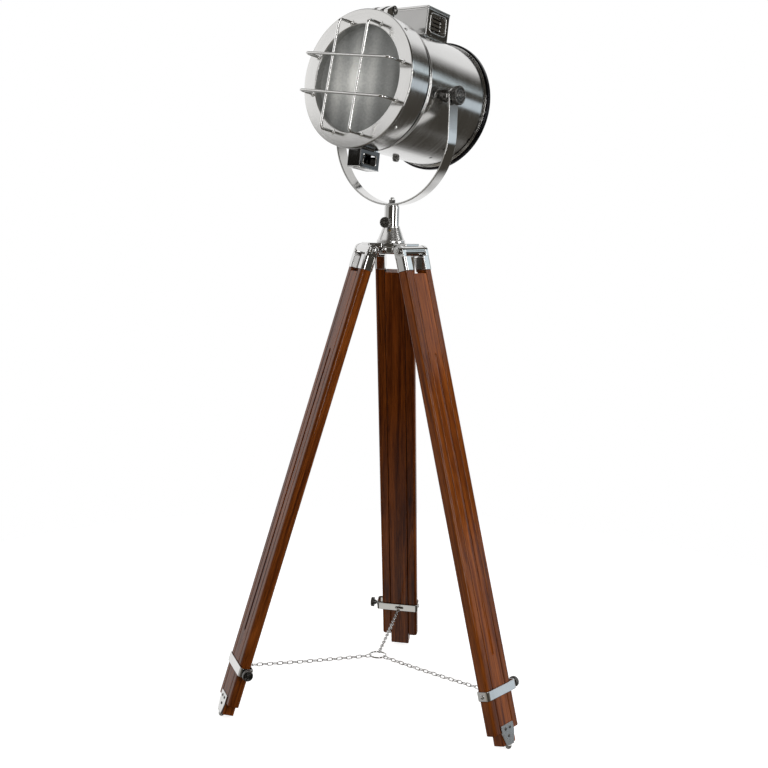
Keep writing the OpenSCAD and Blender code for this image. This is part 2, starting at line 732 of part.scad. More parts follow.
// A deep bowl that turns the bulb's light forward; u runs from 0 at its back to 1 at its mouth
function bowl_r(u) = bowl_back_r + (bowl_mouth_r - bowl_back_r) * sqrt(u);
module reflector() {
    steps = 12;
    y_back = bowl_y;
    y_front = -drum_front + 8;
    color("white") on_drum() to_front() rotate_extrude() {
        polygon(concat(
            [for (k = [0 : steps]) [bowl_r(k / steps), -y_back + (y_back - y_front) * k / steps]],
            [[drum_in - near_gap, -y_front], [drum_in - near_gap, -y_front - 1.4]],
            [for (k = [steps : -1 : 0])
                [bowl_r(k / steps) + 1.5, -y_back - 0.8 + (y_back - y_front - 0.6) * k / steps]]));
    }
}

module lampholder() {
    color("ivory") on_drum() translate([0, 62, 0]) to_front() difference() {
        union() {
            cylinder(r = 21, h = 30);
            cylinder(r = 15, h = 38);
        }
        translate([0, 0, 12]) cylinder(r = 13.4, h = 40);
    }
}

module holder_bracket() {
    drop = sqrt(drum_in * drum_in - 13 * 13);
    color("silver") on_drum() {
        translate([0, 64.1, 0]) to_front() cylinder(r = 21, h = 2);
        translate([-13, 62.1, 0.3 - drop]) cube([26, 2, drop - 0.3]);
        translate([-13, 62.1, 0.3 - drop]) cube([26, 30, 2]);
    }
}

module bulb() {
    color("white") on_drum() to_front() {
        translate([0, 0, -49.5]) cylinder(r = 6, h = 4);
        translate([0, 0, -46]) cylinder(r = 13, h = 26);
        translate([0, 0, -20]) cylinder(r1 = 13.5, r2 = 24, h = 28);
        translate([0, 0, 24]) sphere(r = 29);
    }
}

// The block that the door's spring catch bears on
module catch_keeper() {
    color("silver") on_drum() difference() {
        translate([-9, keeper_y, -drum_r - keeper_h]) cube([18, 8, keeper_h + 3]);
        drum_shape(snug);
    }
}

// ---- Door: bezel, glass, guard and catch ----

// Knuckles of the door hinge, for the given spans along X
module knuckles(spans) {
    for (s = spans) translate([s.x, hinge_y, hinge_z]) to_right() difference() {
        cylinder(r = barrel_r, h = s.y);
        translate([0, 0, -1]) cylinder(r = pin_r + run_fit, h = s.y + 2);
    }
}

module hinge_base() {
    color("silver") on_drum() difference() {
        union() {
            knuckles([[-19, 9.4], [9.6, 9.4]]);
            for (x = [-19, 9.6]) translate([x, hinge_y, drum_r - 4]) cube([9.4, 12, hinge_z - drum_r - 2]);
            translate([-24, hinge_y + 6, drum_r - 6]) cube([48, 34, 9]);
        }
        drum_shape(snug);
        translate([0, bead_y, 0]) to_front() rotate_extrude() translate([drum_r - 1, -bead_h - snug])
            square([1 + bead_h + snug, 2 * bead_h + 2 * snug]);
        translate([-40, hinge_y, hinge_z]) to_right() cylinder(r = pin_r + run_fit, h = 80);
        for (x = [-9.3, 19.3, -barrel_l / 2]) translate([x, hinge_y, hinge_z]) to_right()
            cylinder(r = barrel_r + near_gap, h = x == -barrel_l / 2 ? 9.7 : (x < 0 ? 18.6 : 9.7));
    }
}

module hinge_pin() {
    color("dimgray") on_drum() translate([-barrel_l / 2 - 2, hinge_y, hinge_z]) to_right() {
        cylinder(r = pin_r, h = barrel_l + 4);
        translate([0, 0, -2]) cylinder(r = 6.5, h = 2.9);
        translate([0, 0, barrel_l + 3.1]) cylinder(r = 6.5, h = 2.9);
    }
}

module hinge_leaf() {
    color("silver") on_drum() difference() {
        union() {
            for (s = leaf_spans) translate([s.x, 0, 0]) {
                translate([0, hinge_y, hinge_z]) to_right() cylinder(r = barrel_r, h = s.y);
                to_right() linear_extrude(s.y) polygon([
                    [-hinge_z - barrel_r + 1, hinge_y - 4], [-hinge_z + 4, hinge_y - leaf_reach],
                    [-skirt_r + 4, hinge_y - leaf_reach], [-skirt_r + 4, skirt_edge - 1],
                    [-hinge_z + 5, hinge_y - 4]]);
            }
            translate([-barrel_l / 2, hinge_y - leaf_reach, skirt_r - 4]) cube([barrel_l, 18, 7]);
        }
        translate([-barrel_l, hinge_y, hinge_z]) to_right() cylinder(r = pin_r + run_fit, h = 2 * barrel_l);
        skirt_shape(snug);
    }
}

module bezel() {
    lip_t = 2.5;
    face_t = 3;
    wall = skirt_r - drum_r - 3.5;
    color("gainsboro") on_drum() difference() {
        to_front() rotate_extrude() {
            translate([opening_r, bezel_front - face_t]) square([bezel_r - opening_r - 2, face_t]);
            translate([bezel_r - 2.2, bezel_front - 2]) circle(r = 2);
            translate([bezel_r - 2.5, bezel_front - 8]) square([2.3, 6]);
            translate([skirt_r - wall, skirt_back]) square([wall, bezel_front - skirt_back - 1]);
            translate([opening_r, lip_y]) square([lip_t, bezel_front - lip_y - 1]);
        }
        bezel_screw_places() translate([0, 0, -8]) cylinder(r = 1.6, h = 16);
    }
}

// Four screws round the skirt, pointing in
module bezel_screw_places() {
    for (turn = screw_turns) rotate([0, turn, 0]) translate([0, 3 - lip_y, skirt_r]) children();
}

module bezel_screws() {
    color("gray") on_drum() bezel_screw_places() {
        translate([0, 0, -6]) cylinder(r = 1.5, h = 6.5);
        translate([0, 0, 0.1]) cylinder(r1 = 4, r2 = 2.6, h = 2);
    }
}

module lens() {
    color("lightgray") on_drum() translate([0, -lip_y + 0.2 + lens_t, 0]) to_front()
        cylinder(r = lens_r, h = lens_t, $fn = 128);
}

module lens_ring() {
    back = lip_y - lens_t - 0.4;
    color("dimgray") on_drum() to_front() rotate_extrude() {
        translate([lens_r + 0.5, back - 3]) square([2, bezel_front - 3.2 - back + 3]);
        translate([opening_r + 3, back - 3]) square([lens_r - opening_r - 1, 3]);
    }
}

// One guard bar along Z: straight in front of the glass, its ends bent back to the bezel
module guard_bar(out) {
    r = guard_wire / 2;
    bend = 9;
    straight = guard_reach - bend;
    translate([0, -out, -straight]) cylinder(r = r, h = 2 * straight);
    for (end = [0, 180]) rotate([0, end, 0]) {
        translate([0, bend - out, straight]) rotate([0, 90, 0]) rotate([0, 0, 180])
            rotate_extrude(angle = 90) translate([bend, 0]) circle(r = r, $fn = 32);
        translate([0, -0.1, guard_reach]) to_front() cylinder(r = r, h = out - bend - 0.1);
        translate([0, -0.1, guard_reach]) to_front() cylinder(r = 6, h = 1.6);
        translate([0, -0.1, guard_reach]) to_front() cylinder(r = 3.6, h = 4);
    }
}

module wire_guard() {
    color("lightgray") on_drum() translate([0, -bezel_front, 0]) rotate([0, guard_turn, 0]) {
        for (x = [-guard_x, guard_x]) translate([x, 0, 0]) guard_bar(guard_out);
        for (z = [-guard_x, guard_x]) translate([0, 0, z]) rotate([0, 90, 0]) guard_bar(guard_out + guard_wire);
    }
}

module bottom_box() {
    color("silver") on_drum() difference() {
        translate([-low_w / 2, -low_y0, -low_h]) cube([low_w, low_d, low_h - 100]);
        translate([-low_w / 2 + box_wall, -low_y0 + box_wall, box_wall - low_h])
            cube([low_w - 2 * box_wall, low_d - 2 * box_wall, low_h]);
        skirt_shape(snug);
        translate([-low_w, 0, 0]) to_right() linear_extrude(2 * low_w)
            round_rect([skirt_r + 0.22 * low_room, 10 - low_y0], [low_h - 0.23 * low_room, low_d - 12 - low_y0],
                0.155 * low_room);
        translate([0, -low_y0 + low_d - 10, 0]) translate([-7, 0, -skirt_r - 8]) cube([14, 20, 30]);
    }
}

// A leaf spring whose rounded nose presses up on the keeper
module door_catch() {
    nose_r = 3.5;
    nose_y = keeper_y + 4;
    nose_z = -drum_r - keeper_h - near_gap - nose_r;
    foot_z = box_wall - low_h + snug;
    leaf_y = -low_y0 + 22;
    color("silver") on_drum() {
        translate([-6, leaf_y - 12, foot_z]) cube([12, 13, 1.2]);
        translate([-6, leaf_y, foot_z]) cube([12, 1.2, nose_z - nose_r + 1.2 - foot_z]);
        translate([-6, leaf_y, nose_z - nose_r]) cube([12, nose_y - leaf_y, 1.2]);
        translate([-6, nose_y, nose_z]) to_right() cylinder(r = nose_r, h = 12);
    }
}

hub_spider();
hub_cone();
socket_tube();
tube_set_screw();
tube_thumb_screw();
outer_slats(SIDE);  // side_outer_slats
outer_slats(REAR);  // rear_outer_slats
outer_slats(FRONT);  // front_outer_slats
ferrules(SIDE);  // side_ferrules
ferrules(REAR);  // rear_ferrules
ferrules(FRONT);  // front_ferrules
hinge_bolt(SIDE);  // side_hinge_bolt
hinge_bolt(REAR);  // rear_hinge_bolt
hinge_bolt(FRONT);  // front_hinge_bolt
inner_slat(SIDE);  // side_inner_slat
inner_slat(REAR);  // rear_inner_slat
inner_slat(FRONT);  // front_inner_slat
foot_shoe(SIDE);  // side_foot_shoe
foot_shoe(REAR);  // rear_foot_shoe
foot_shoe(FRONT);  // front_foot_shoe
shoe_screws(SIDE);  // side_shoe_screws
shoe_screws(REAR);  // rear_shoe_screws
shoe_screws(FRONT);  // front_shoe_screws
clamp_band(SIDE);  // side_clamp_band
clamp_band(REAR);  // rear_clamp_band
clamp_band(FRONT);  // front_clamp_band
clamp_screw(SIDE);  // side_clamp_screw
clamp_screw(REAR);  // rear_clamp_screw
clamp_screw(FRONT);  // front_clamp_screw
chain_ring();
chain(SIDE);  // side_chain
chain(REAR);  // rear_chain
chain(FRONT);  // front_chain
yoke();
yoke_stem();
stem_nut();
right_tilt_knob();
left_tilt_knob();
drum();
rear_cap();
tilt_bosses();
case_screws();
top_box();
vent_panels();
cable_gland();
reflector();
lampholder();
holder_bracket();
bulb();
catch_keeper();
hinge_base();
hinge_pin();
hinge_leaf();
bezel();
bezel_screws();
lens();
lens_ring();
wire_guard();
bottom_box();
door_catch();
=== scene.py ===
"""Looks of a tripod spotlight floor lamp: plated metal, varnished wood, frosted glass and a spreader chain.

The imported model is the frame. Every piece here is worked out in a local frame of its own (hub, leg, spotlight)
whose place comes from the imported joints, and is written into the mesh in the object's own frame, in metres.
"""

import json

import bmesh
import bpy
import numpy as np
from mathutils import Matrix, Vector
from bpy.props import FloatProperty, FloatVectorProperty, IntProperty, PointerProperty


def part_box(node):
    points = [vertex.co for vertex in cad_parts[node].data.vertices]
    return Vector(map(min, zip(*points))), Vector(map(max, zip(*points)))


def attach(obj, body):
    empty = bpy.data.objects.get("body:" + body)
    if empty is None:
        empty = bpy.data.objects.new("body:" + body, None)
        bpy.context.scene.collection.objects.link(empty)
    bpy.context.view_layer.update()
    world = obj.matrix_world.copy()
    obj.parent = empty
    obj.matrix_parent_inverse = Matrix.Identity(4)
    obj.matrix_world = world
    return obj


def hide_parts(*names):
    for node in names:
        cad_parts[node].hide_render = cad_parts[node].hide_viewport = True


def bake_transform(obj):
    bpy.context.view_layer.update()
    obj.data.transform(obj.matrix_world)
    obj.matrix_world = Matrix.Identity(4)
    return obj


bl_info = {
    "name": "Tripod spotlight lamp",
    "version": (1, 0, 0),
    "blender": (4, 5, 0),
    "location": "View3D > Sidebar > Lamp",
    "description": "Builds a plated spotlight on a wooden tripod around its packed frame",
    "category": "Add Mesh",
}

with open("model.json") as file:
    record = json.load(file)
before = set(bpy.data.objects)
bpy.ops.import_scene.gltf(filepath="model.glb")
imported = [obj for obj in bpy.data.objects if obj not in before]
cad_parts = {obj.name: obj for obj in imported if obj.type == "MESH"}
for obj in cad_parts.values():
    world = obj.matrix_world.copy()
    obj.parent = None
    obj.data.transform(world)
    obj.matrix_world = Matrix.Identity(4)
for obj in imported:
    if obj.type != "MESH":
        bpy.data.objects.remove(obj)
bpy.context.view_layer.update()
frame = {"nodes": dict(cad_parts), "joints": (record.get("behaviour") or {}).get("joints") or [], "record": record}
NODES = frame["nodes"]
JOINTS = {joint["name"]: joint for joint in frame["joints"]}

MM = 0.001
TURN = 2 * np.pi
LEGS = ("side", "rear", "front")
FIT = 0.1 * MM  # clearance of pieces that sit on one another
BORE = 4.1 * MM  # radius of the holes for bolts and studs
EYE_BULGE = 4.5 * MM  # how far a clamp's eye stands in from its band


# ---------------------------------------------------------------- sizes and colours

def length(name, text, value):
    """A size in metres."""
    return FloatProperty(name=name, description=text, default=value, min=0.0, unit="LENGTH", precision=4)


def colour(name, text, value):
    """A linear colour."""
    return FloatVectorProperty(name=name, description=text, default=value, size=3, subtype="COLOR", min=0, max=1)


class LampBody(bpy.types.PropertyGroup):
    """Sizes of the spotlight."""
    drum_r: length("Drum radius", "Outer radius of the drum", 0.136)
    drum_front: length("Drum front", "From the tilt axis forward to the drum's front edge", 0.092)
    drum_back: length("Drum back", "From the tilt axis back to the drum's rear edge", 0.150)
    drum_lift: length("Drum lift", "Height of the drum's axis above the tilt axis", 0.012)
    tilt: FloatProperty(name="Tilt", description="How far the spotlight looks up",
                        default=np.radians(7), subtype="ANGLE")
    sheet: length("Sheet", "Thickness of the sheet metal", 0.0015)
    bezel_r: length("Bezel radius", "Outer radius of the bezel's front edge", 0.145)
    skirt_r: length("Skirt radius", "Outer radius of the bezel's skirt", 0.1423)
    opening_r: length("Opening radius", "Radius of the opening in the bezel", 0.1124)
    bezel_front: length("Bezel front", "From the tilt axis forward to the bezel's face", 0.1398)
    skirt_back: length("Skirt back", "From the tilt axis forward to the skirt's rear edge", 0.0775)
    rim_r: length("Rear rim radius", "Outer radius of the rolled rim at the rear", 0.1436)
    guard_wire: length("Guard wire", "Diameter of the guard's wire", 0.0062)
    guard_x: length("Guard spacing", "Distance of each guard bar from the middle", 0.039)
    guard_out: length("Guard stand-off", "From the bezel's face to the rear bars", 0.040)
    guard_step: length("Guard step", "From the rear bars' middle forward to the front bars' middle", 0.0045)
    guard_reach: length("Guard reach", "From a bar's middle to the bend at its end", 0.114)
    guard_turn: FloatProperty(name="Guard turn", description="Turn of the guard on the bezel",
                              default=np.radians(5.5), subtype="ANGLE")


class LampStand(bpy.types.PropertyGroup):
    """Sizes of the hub, the legs and the yoke."""
    slat_d: length("Slat depth", "Radial depth of every slat", 0.026)
    inner_w: length("Middle slat width", "Width of the sliding middle slat", 0.046)
    outer_w: length("Outer slat width", "Width of each outer slat", 0.0216)
    slat_gap: length("Slat gap", "Gap between the slats", 0.0004)
    outer_end: length("Outer slat end", "From the hinge bolt down to an outer slat's end", 1.05715)
    inner_end: length("Middle slat end", "From the hinge bolt down to the middle slat's end", 1.08515)
    flute_r: length("Flute radius", "Half the width of the flute", 0.0045)
    flute_top: length("Flute top", "From the hinge bolt down to the flute's upper end", 0.235)
    flute_end: length("Flute end", "From the hinge bolt down to the flute's lower end", 0.88915)
    clamp_at: length("Clamp place", "From the hinge bolt down to a clamp band's middle", 0.97115)
    thumb_r: length("Thumb screw radius", "Radius of the small knurled grips", 0.012)
    knob_r: length("Tilt knob radius", "Radius of the large knurled grips", 0.020)
    tube_r: length("Tube radius", "Outer radius of the socket tube", 0.0167)
    yoke_r: length("Yoke radius", "Radius of the yoke's bend to the middle of its strip", 0.153)
    yoke_w: length("Yoke width", "Width of the yoke's strip", 0.032)
    yoke_t: length("Yoke thickness", "Thickness of the yoke's strip", 0.004)
    ring_r: length("Chain ring radius", "Radius of the chain's ring to the middle of its wire", 0.019)
    link_wire: length("Link wire", "Diameter of the links' wire", 0.0019)
    links: IntProperty(name="Links", description="Links in each strand of the chain", default=25, min=5)


class LampFinish(bpy.types.PropertyGroup):
    """Colours of the finishes."""
    nickel: colour("Nickel", "Polished nickel plate", (0.79, 0.785, 0.775))
    satin: colour("Satin nickel", "Satin nickel plate on the drum", (0.73, 0.725, 0.715))
    smoked: colour("Smoked nickel", "Dark nickel on the knobs", (0.12, 0.117, 0.112))
    wood_dark: colour("Wood, dark", "Darkest grain of the wood", (0.085, 0.015, 0.004))
    wood_light: colour("Wood, light", "Lightest grain of the wood", (0.39, 0.100, 0.014))


class LampShot(bpy.types.PropertyGroup):
    """Camera and light."""
    lens: FloatProperty(name="Lens", description="Focal length on a 36 mm sensor, in millimetres", default=55.25106)
    camera_from_axis: FloatVectorProperty(name="Camera place", description="Camera's place from the tripod's axis",
                                          default=(1.6075352, -2.0927110, 1.1501303), subtype="TRANSLATION",
                                          unit="LENGTH")
    camera_turn: FloatVectorProperty(name="Camera turn", description="Camera's rotation", subtype="EULER",
                                     default=np.radians((81.46018446, -1.53386747, 39.64010382)))
    shift: FloatVectorProperty(name="Shift", description="The photograph's framing", size=2,
                               default=(0.046526, -0.004773))
    floor_r: length("Floor radius", "Radius of the white floor", 1.7)
    floor_glow: FloatProperty(name="Floor glow", description="Light that the floor gives off", default=0.9)


GROUPS = {"lamp_body": LampBody, "lamp_stand": LampStand, "lamp_finish": LampFinish, "lamp_shot": LampShot}


# ---------------------------------------------------------------- frames

def unit(vectors):
    """Each vector over its own length."""
    vectors = np.asarray(vectors, float)
    return vectors / np.maximum(np.linalg.norm(vectors, axis=-1, keepdims=True), 1e-12)


class Place:
    """A right-handed local frame: point = origin + x X + y Y + z Z."""

    def __init__(self, origin, x, y, z):
        self.origin = np.asarray(origin, float)
        self.axes = np.array([x, y, z], float)

    def __call__(self, points):
        return self.origin + np.asarray(points, float) @ self.axes

    def at(self, origin, z=(0, 0, 1), x=(1, 0, 0)):
        """A frame at a local point, its z along a local direction and its x as near to a given one as can be."""
        z = unit(z)
        x = np.asarray(x, float)
        if abs(x @ z) > 0.99:
            x = np.array([0.0, 1.0, 0.0])
        x = unit(x - (x @ z) * z)
        return Place(self(origin), *(np.array([x, np.cross(z, x), z]) @ self.axes))


AXIS = np.array([*JOINTS["pan"]["pos_m"][:2], 0.0])
HINGE_Z = JOINTS["side_leg_fold"]["pos_m"][2]
HUB = Place(AXIS + (0, 0, HINGE_Z), (1, 0, 0), (0, 1, 0), (0, 0, 1))
PIVOT = np.array(JOINTS["tilt"]["pos_m"])
YOKE = Place(PIVOT, (1, 0, 0), (0, 1, 0), (0, 0, 1))


def leg_place(leg):
    """A leg's frame at its hinge bolt: x outward, y along the bolt, z up the leg."""
    across = unit(JOINTS[f"{leg}_leg_fold"]["axis"])
    up = -unit(JOINTS[f"{leg}_leg_slide"]["axis"])
    return Place(JOINTS[f"{leg}_leg_fold"]["pos_m"], np.cross(across, up), across, up)


def turning_place(joint):
    """A screw's frame at its joint: x up and z along the axis that it turns about."""
    turn = JOINTS[joint]
    return Place(turn["pos_m"], (0, 0, 1), np.cross(turn["axis"], (0, 0, 1)), turn["axis"])


def leg_half(size):
    """From the middle of a leg to an outer slat's outer side."""
    return size.inner_w / 2 + size.slat_gap + size.outer_w


def tilted_place():
    """The spotlight's frame at the tilt axis: x to the right, y up and z forward along the drum's axis."""
    tilt = bpy.context.scene.lamp_body.tilt
    up = np.array((0, np.sin(tilt), np.cos(tilt)))
    return Place(PIVOT, (1, 0, 0), up, np.cross((1, 0, 0), up))


def drum_place():
    """The spotlight's frame with its origin on the drum's axis."""
    return tilted_place().at((0, bpy.context.scene.lamp_body.drum_lift, 0))


# ---------------------------------------------------------------- outlines

def rounded(corners, radius, steps=5, closed=True):
    """An outline through the corners, each replaced by an arc that is tangent to its two sides."""
    p = np.asarray(corners, float)
    r = np.array(np.broadcast_to(np.asarray(radius, float), len(p)))
    to_last, to_next = np.roll(p, 1, 0) - p, np.roll(p, -1, 0) - p
    if not closed:
        r[[0, -1]] = 0
        to_last[0], to_next[-1] = -to_next[0], -to_last[-1]
    room = 0.49 * np.minimum(np.linalg.norm(to_last, axis=1), np.linalg.norm(to_next, axis=1))
    a, b = unit(to_last), unit(to_next)
    half = np.arccos(np.clip((a * b).sum(1), -1, 1)) / 2
    half = np.clip(half, 1e-3, np.pi / 2 - 1e-6)
    reach = np.minimum(r / np.tan(half), room)
    r = reach * np.tan(half)
    centre = p + unit(a + b) * (r / np.sin(half))[:, None]
    first, last = p + a * reach[:, None] - centre, p + b * reach[:, None] - centre
    w = np.linspace(0, 1, steps + 1)[None, :, None]
    turn = (np.pi - 2 * half)[:, None, None]
    arc = (np.sin((1 - w) * turn) * first[:, None] + np.sin(w * turn) * last[:, None]) / np.sin(turn)
    return (centre[:, None] + arc).reshape(-1, 2)


def oblong(width, height, radius, steps=5, centre=(0, 0)):
    """A rectangle with round corners, counter-clockwise."""
    x, y = width / 2, height / 2
    return rounded([(-x, -y), (x, -y), (x, y), (-x, y)], radius, steps) + np.asarray(centre, float)


def circle(radius, steps=12):
    """A circle, counter-clockwise."""
    a = np.arange(steps) * TURN / steps
    return radius * np.stack([np.cos(a), np.sin(a)], 1)


def box_outline(r0, r1, h0, h1, edge, steps=4):
    """The section of a round plate or ring, from radius r0 to r1 and height h0 to h1, with round edges."""
    return rounded([(r0, h0), (r1, h0), (r1, h1), (r0, h1)], edge, steps)


# ---------------------------------------------------------------- surfaces

def turned(outline, turns=72, teeth=0, depth=0.0, tooth_from=0.0):
    """A closed (radius, height) outline revolved: (r cos a, r sin a, h). Teeth cut V grooves, deepest midway
    between two teeth, into every point beyond tooth_from. The pattern runs round each ring: (cos a, sin a, length
    along the outline)."""
    outline = np.asarray(outline, float)
    a = (np.arange(turns) * TURN / turns)[:, None]
    r = np.broadcast_to(outline[:, 0], (turns, len(outline)))
    if teeth:
        groove = 1 - np.abs(np.cos(teeth * a / 2))
        r = r - depth * groove * (outline[:, 0] > tooth_from)
    points = np.stack([r * np.cos(a), r * np.sin(a), np.broadcast_to(outline[:, 1], r.shape)], -1)
    run = np.cumsum(np.linalg.norm(np.diff(outline, axis=0, prepend=outline[:1]), axis=1))
    pattern = np.stack([0.02 * np.cos(a) + 0 * r, 0.02 * np.sin(a) + 0 * r, np.broadcast_to(run, r.shape)], -1)
    return points, pattern


def prism(outline, low, high, edge, steps=3):
    """An outline extruded from low to high, its two ends drawn in along a quarter circle of radius edge."""
    outline = np.asarray(outline, float)
    side = unit(np.roll(outline, -1, 0) - outline)
    normal = np.stack([side[:, 1], -side[:, 0]], 1)
    both = normal + np.roll(normal, 1, 0)
    both = both / np.maximum((both * normal).sum(1, keepdims=True), 0.3)
    if (outline[:, 0] * np.roll(outline[:, 1], -1) - outline[:, 1] * np.roll(outline[:, 0], -1)).sum() < 0:
        both = -both
    a = np.linspace(0, np.pi / 2, steps + 1)
    inset = np.concatenate([edge * (1 - np.sin(a)), edge * (1 - np.sin(a[::-1]))])
    height = np.concatenate([low + edge * (1 - np.cos(a)), high - edge * (1 - np.cos(a[::-1]))])
    flat = outline[None] - both[None] * inset[:, None, None]
    return np.concatenate([flat, np.broadcast_to(height[:, None, None], (*flat.shape[:2], 1))], -1)


def swept(section, path, side, closed=False, width=None):
    """A section of (s, n) points carried along a path: path + s S + n N, with S a given side direction across the
    path's direction T and N = S x T. width scales s along the path."""
    path = np.asarray(path, float)
    if closed:
        along = np.roll(path, -1, 0) - np.roll(path, 1, 0)
    else:
        along = np.gradient(path, axis=0)
    along = unit(along)
    side = unit(np.broadcast_to(np.asarray(side, float), path.shape))
    side = unit(side - (side * along).sum(1, keepdims=True) * along)
    out = np.cross(side, along)
    width = np.ones(len(path)) if width is None else np.asarray(width, float)
    s = section[None, :, 0, None] * width[:, None, None]
    return path[:, None] + s * side[:, None] + section[None, :, 1, None] * out[:, None]


class Form:
    """Closed shells gathered into one mesh. Each shell's faces are turned outward by the sign of its volume."""

    def __init__(self, place):
        self.place = place
        self.points, self.patterns, self.faces = [], [], []
        self.count = 0

    def add(self, points, pattern=None, place=None, wrap_rows=False, ends=False):
        """Adds a grid of points, closed along its columns. Rows are closed too, or get flat ends."""
        place = place or self.place
        world = place(points)
        rows, columns = points.shape[:2]
        index = np.arange(rows * columns).reshape(rows, columns)
        last = index if wrap_rows else index[:-1]
        below = np.roll(index, -1, 0) if wrap_rows else index[1:]
        quads = np.stack([last, np.roll(last, -1, 1), np.roll(below, -1, 1), below], -1).reshape(-1, 4)
        flat = world.reshape(-1, 3) - world.reshape(-1, 3).mean(0)
        faces = [quads] + ([index[0][::-1][None], index[-1][None]] if ends else [])
        volume = 0.0
        for group in faces:
            corner = flat[group]
            for k in range(1, corner.shape[1] - 1):
                volume += (corner[:, 0] * np.cross(corner[:, k], corner[:, k + 1])).sum()
        for group in faces:
            group = group if volume > 0 else group[:, ::-1]
            self.faces += (group + self.count).tolist()
        self.points.append(world.reshape(-1, 3))
        self.patterns.append((points if pattern is None else pattern).reshape(-1, 3))
        self.count += rows * columns
        return self

    def lathe(self, outline, place=None, turns=72, **teeth):
        """Adds a turned outline about the place's z axis."""
        points, pattern = turned(outline, turns, **teeth)
        return self.add(points, pattern, place, wrap_rows=True)

    def block(self, outline, low, high, edge, place=None):
        """Adds a prism with rounded ends along the place's z axis."""
        return self.add(prism(outline, low, high, edge), place=place, ends=True)

    def wire(self, path, radius, side, place=None, closed=False, steps=12):
        """Adds a round wire along a flat path, side being the flat's normal."""
        tube = swept(circle(radius, steps), path, side, closed)
        return self.add(tube, place=place, wrap_rows=closed, ends=not closed)

    def shell(self, outside, inside, pattern, hole):
        """Adds a wall between two grids of the same layout, open at the marked cells, with edges round every
        opening."""
        rows, columns = outside.shape[:2]
        index = np.arange(rows * columns).reshape(rows, columns)
        quads = np.stack([index[:-1], np.roll(index[:-1], -1, 1), np.roll(index[1:], -1, 1), index[1:]], -1)
        kept = quads[~hole]
        offset = rows * columns
        edges = np.concatenate([kept[:, [k, (k + 1) % 4]] for k in range(4)])
        key = np.sort(edges, 1) @ np.array([offset, 1])
        _, place, times = np.unique(key, return_index=True, return_counts=True)
        rim = edges[place[times == 1]]
        walls = np.stack([rim[:, 1], rim[:, 0], rim[:, 0] + offset, rim[:, 1] + offset], 1)
        a, b, c = (outside.reshape(-1, 3)[kept[0, k]] for k in range(3))
        flip = np.cross(b - a, c - a) @ np.append((a + c)[:2], 0) < 0
        for group in (kept, kept[:, ::-1] + offset, walls):
            self.faces += (self.count + (group[:, ::-1] if flip else group)).tolist()
        self.points += [self.place(outside).reshape(-1, 3), self.place(inside).reshape(-1, 3)]
        self.patterns += [pattern.reshape(-1, 3)] * 2
        self.count += 2 * offset
        return self

    def piece(self, name, finish, body, slot, replaces=(), sharp=38):
        """Makes the mesh, shades it smooth up to the sharp angle, and sets it on its body."""
        mesh = bpy.data.meshes.new(name)
        mesh.from_pydata(np.concatenate(self.points), [], self.faces)
        store = mesh.attributes.new("pattern", "FLOAT_VECTOR", "POINT")
        store.data.foreach_set("vector", np.concatenate(self.patterns).astype(np.float32).ravel())
        return dress(name, mesh, finish, body, replaces, sharp)


def dress(name, mesh, finish, body, replaces=(), sharp=38):
    """Welds a mesh's doubles and puts it in the scene as a finished piece on its body."""
    work = bmesh.new()
    work.from_mesh(mesh)
    bmesh.ops.remove_doubles(work, verts=work.verts, dist=2e-6)
    work.to_mesh(mesh)
    work.free()
    mesh.shade_smooth()
    mesh.set_sharp_from_angle(angle=np.radians(sharp))
    mesh.materials.append(finish)
    piece = bpy.data.objects.new(name, mesh)
    bpy.context.scene.collection.objects.link(piece)
    even = piece.modifiers.new("even shading", "WEIGHTED_NORMAL")
    even.keep_sharp = True
    if body:
        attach(piece, body)
    if replaces:
        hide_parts(*replaces)
    return piece


def cut(piece, cutter):
    """Takes a closed form out of a piece, for good."""
    mesh = bpy.data.meshes.new("cutter")
    mesh.from_pydata(np.concatenate(cutter.points), [], cutter.faces)
    tool = bpy.data.objects.new("cutter", mesh)
    bpy.context.scene.collection.objects.link(tool)
    kept = [(m.name, m.type) for m in piece.modifiers]
    for m in list(piece.modifiers):
        piece.modifiers.remove(m)
    step = piece.modifiers.new("cut", "BOOLEAN")
    step.object = tool
    step.solver = "EXACT"
    step.use_self = True
    graph = bpy.context.evaluated_depsgraph_get()
    result = bpy.data.meshes.new_from_object(piece.evaluated_get(graph))
    piece.modifiers.clear()
    old = piece.data
    piece.data = result
    bpy.data.meshes.remove(old)
    bpy.data.objects.remove(tool)
    bpy.data.meshes.remove(mesh)
    result.shade_smooth()
    result.set_sharp_from_angle(angle=np.radians(38))
    for name, kind in kept:
        piece.modifiers.new(name, kind).keep_sharp = True
    return piece


# ---------------------------------------------------------------- finishes

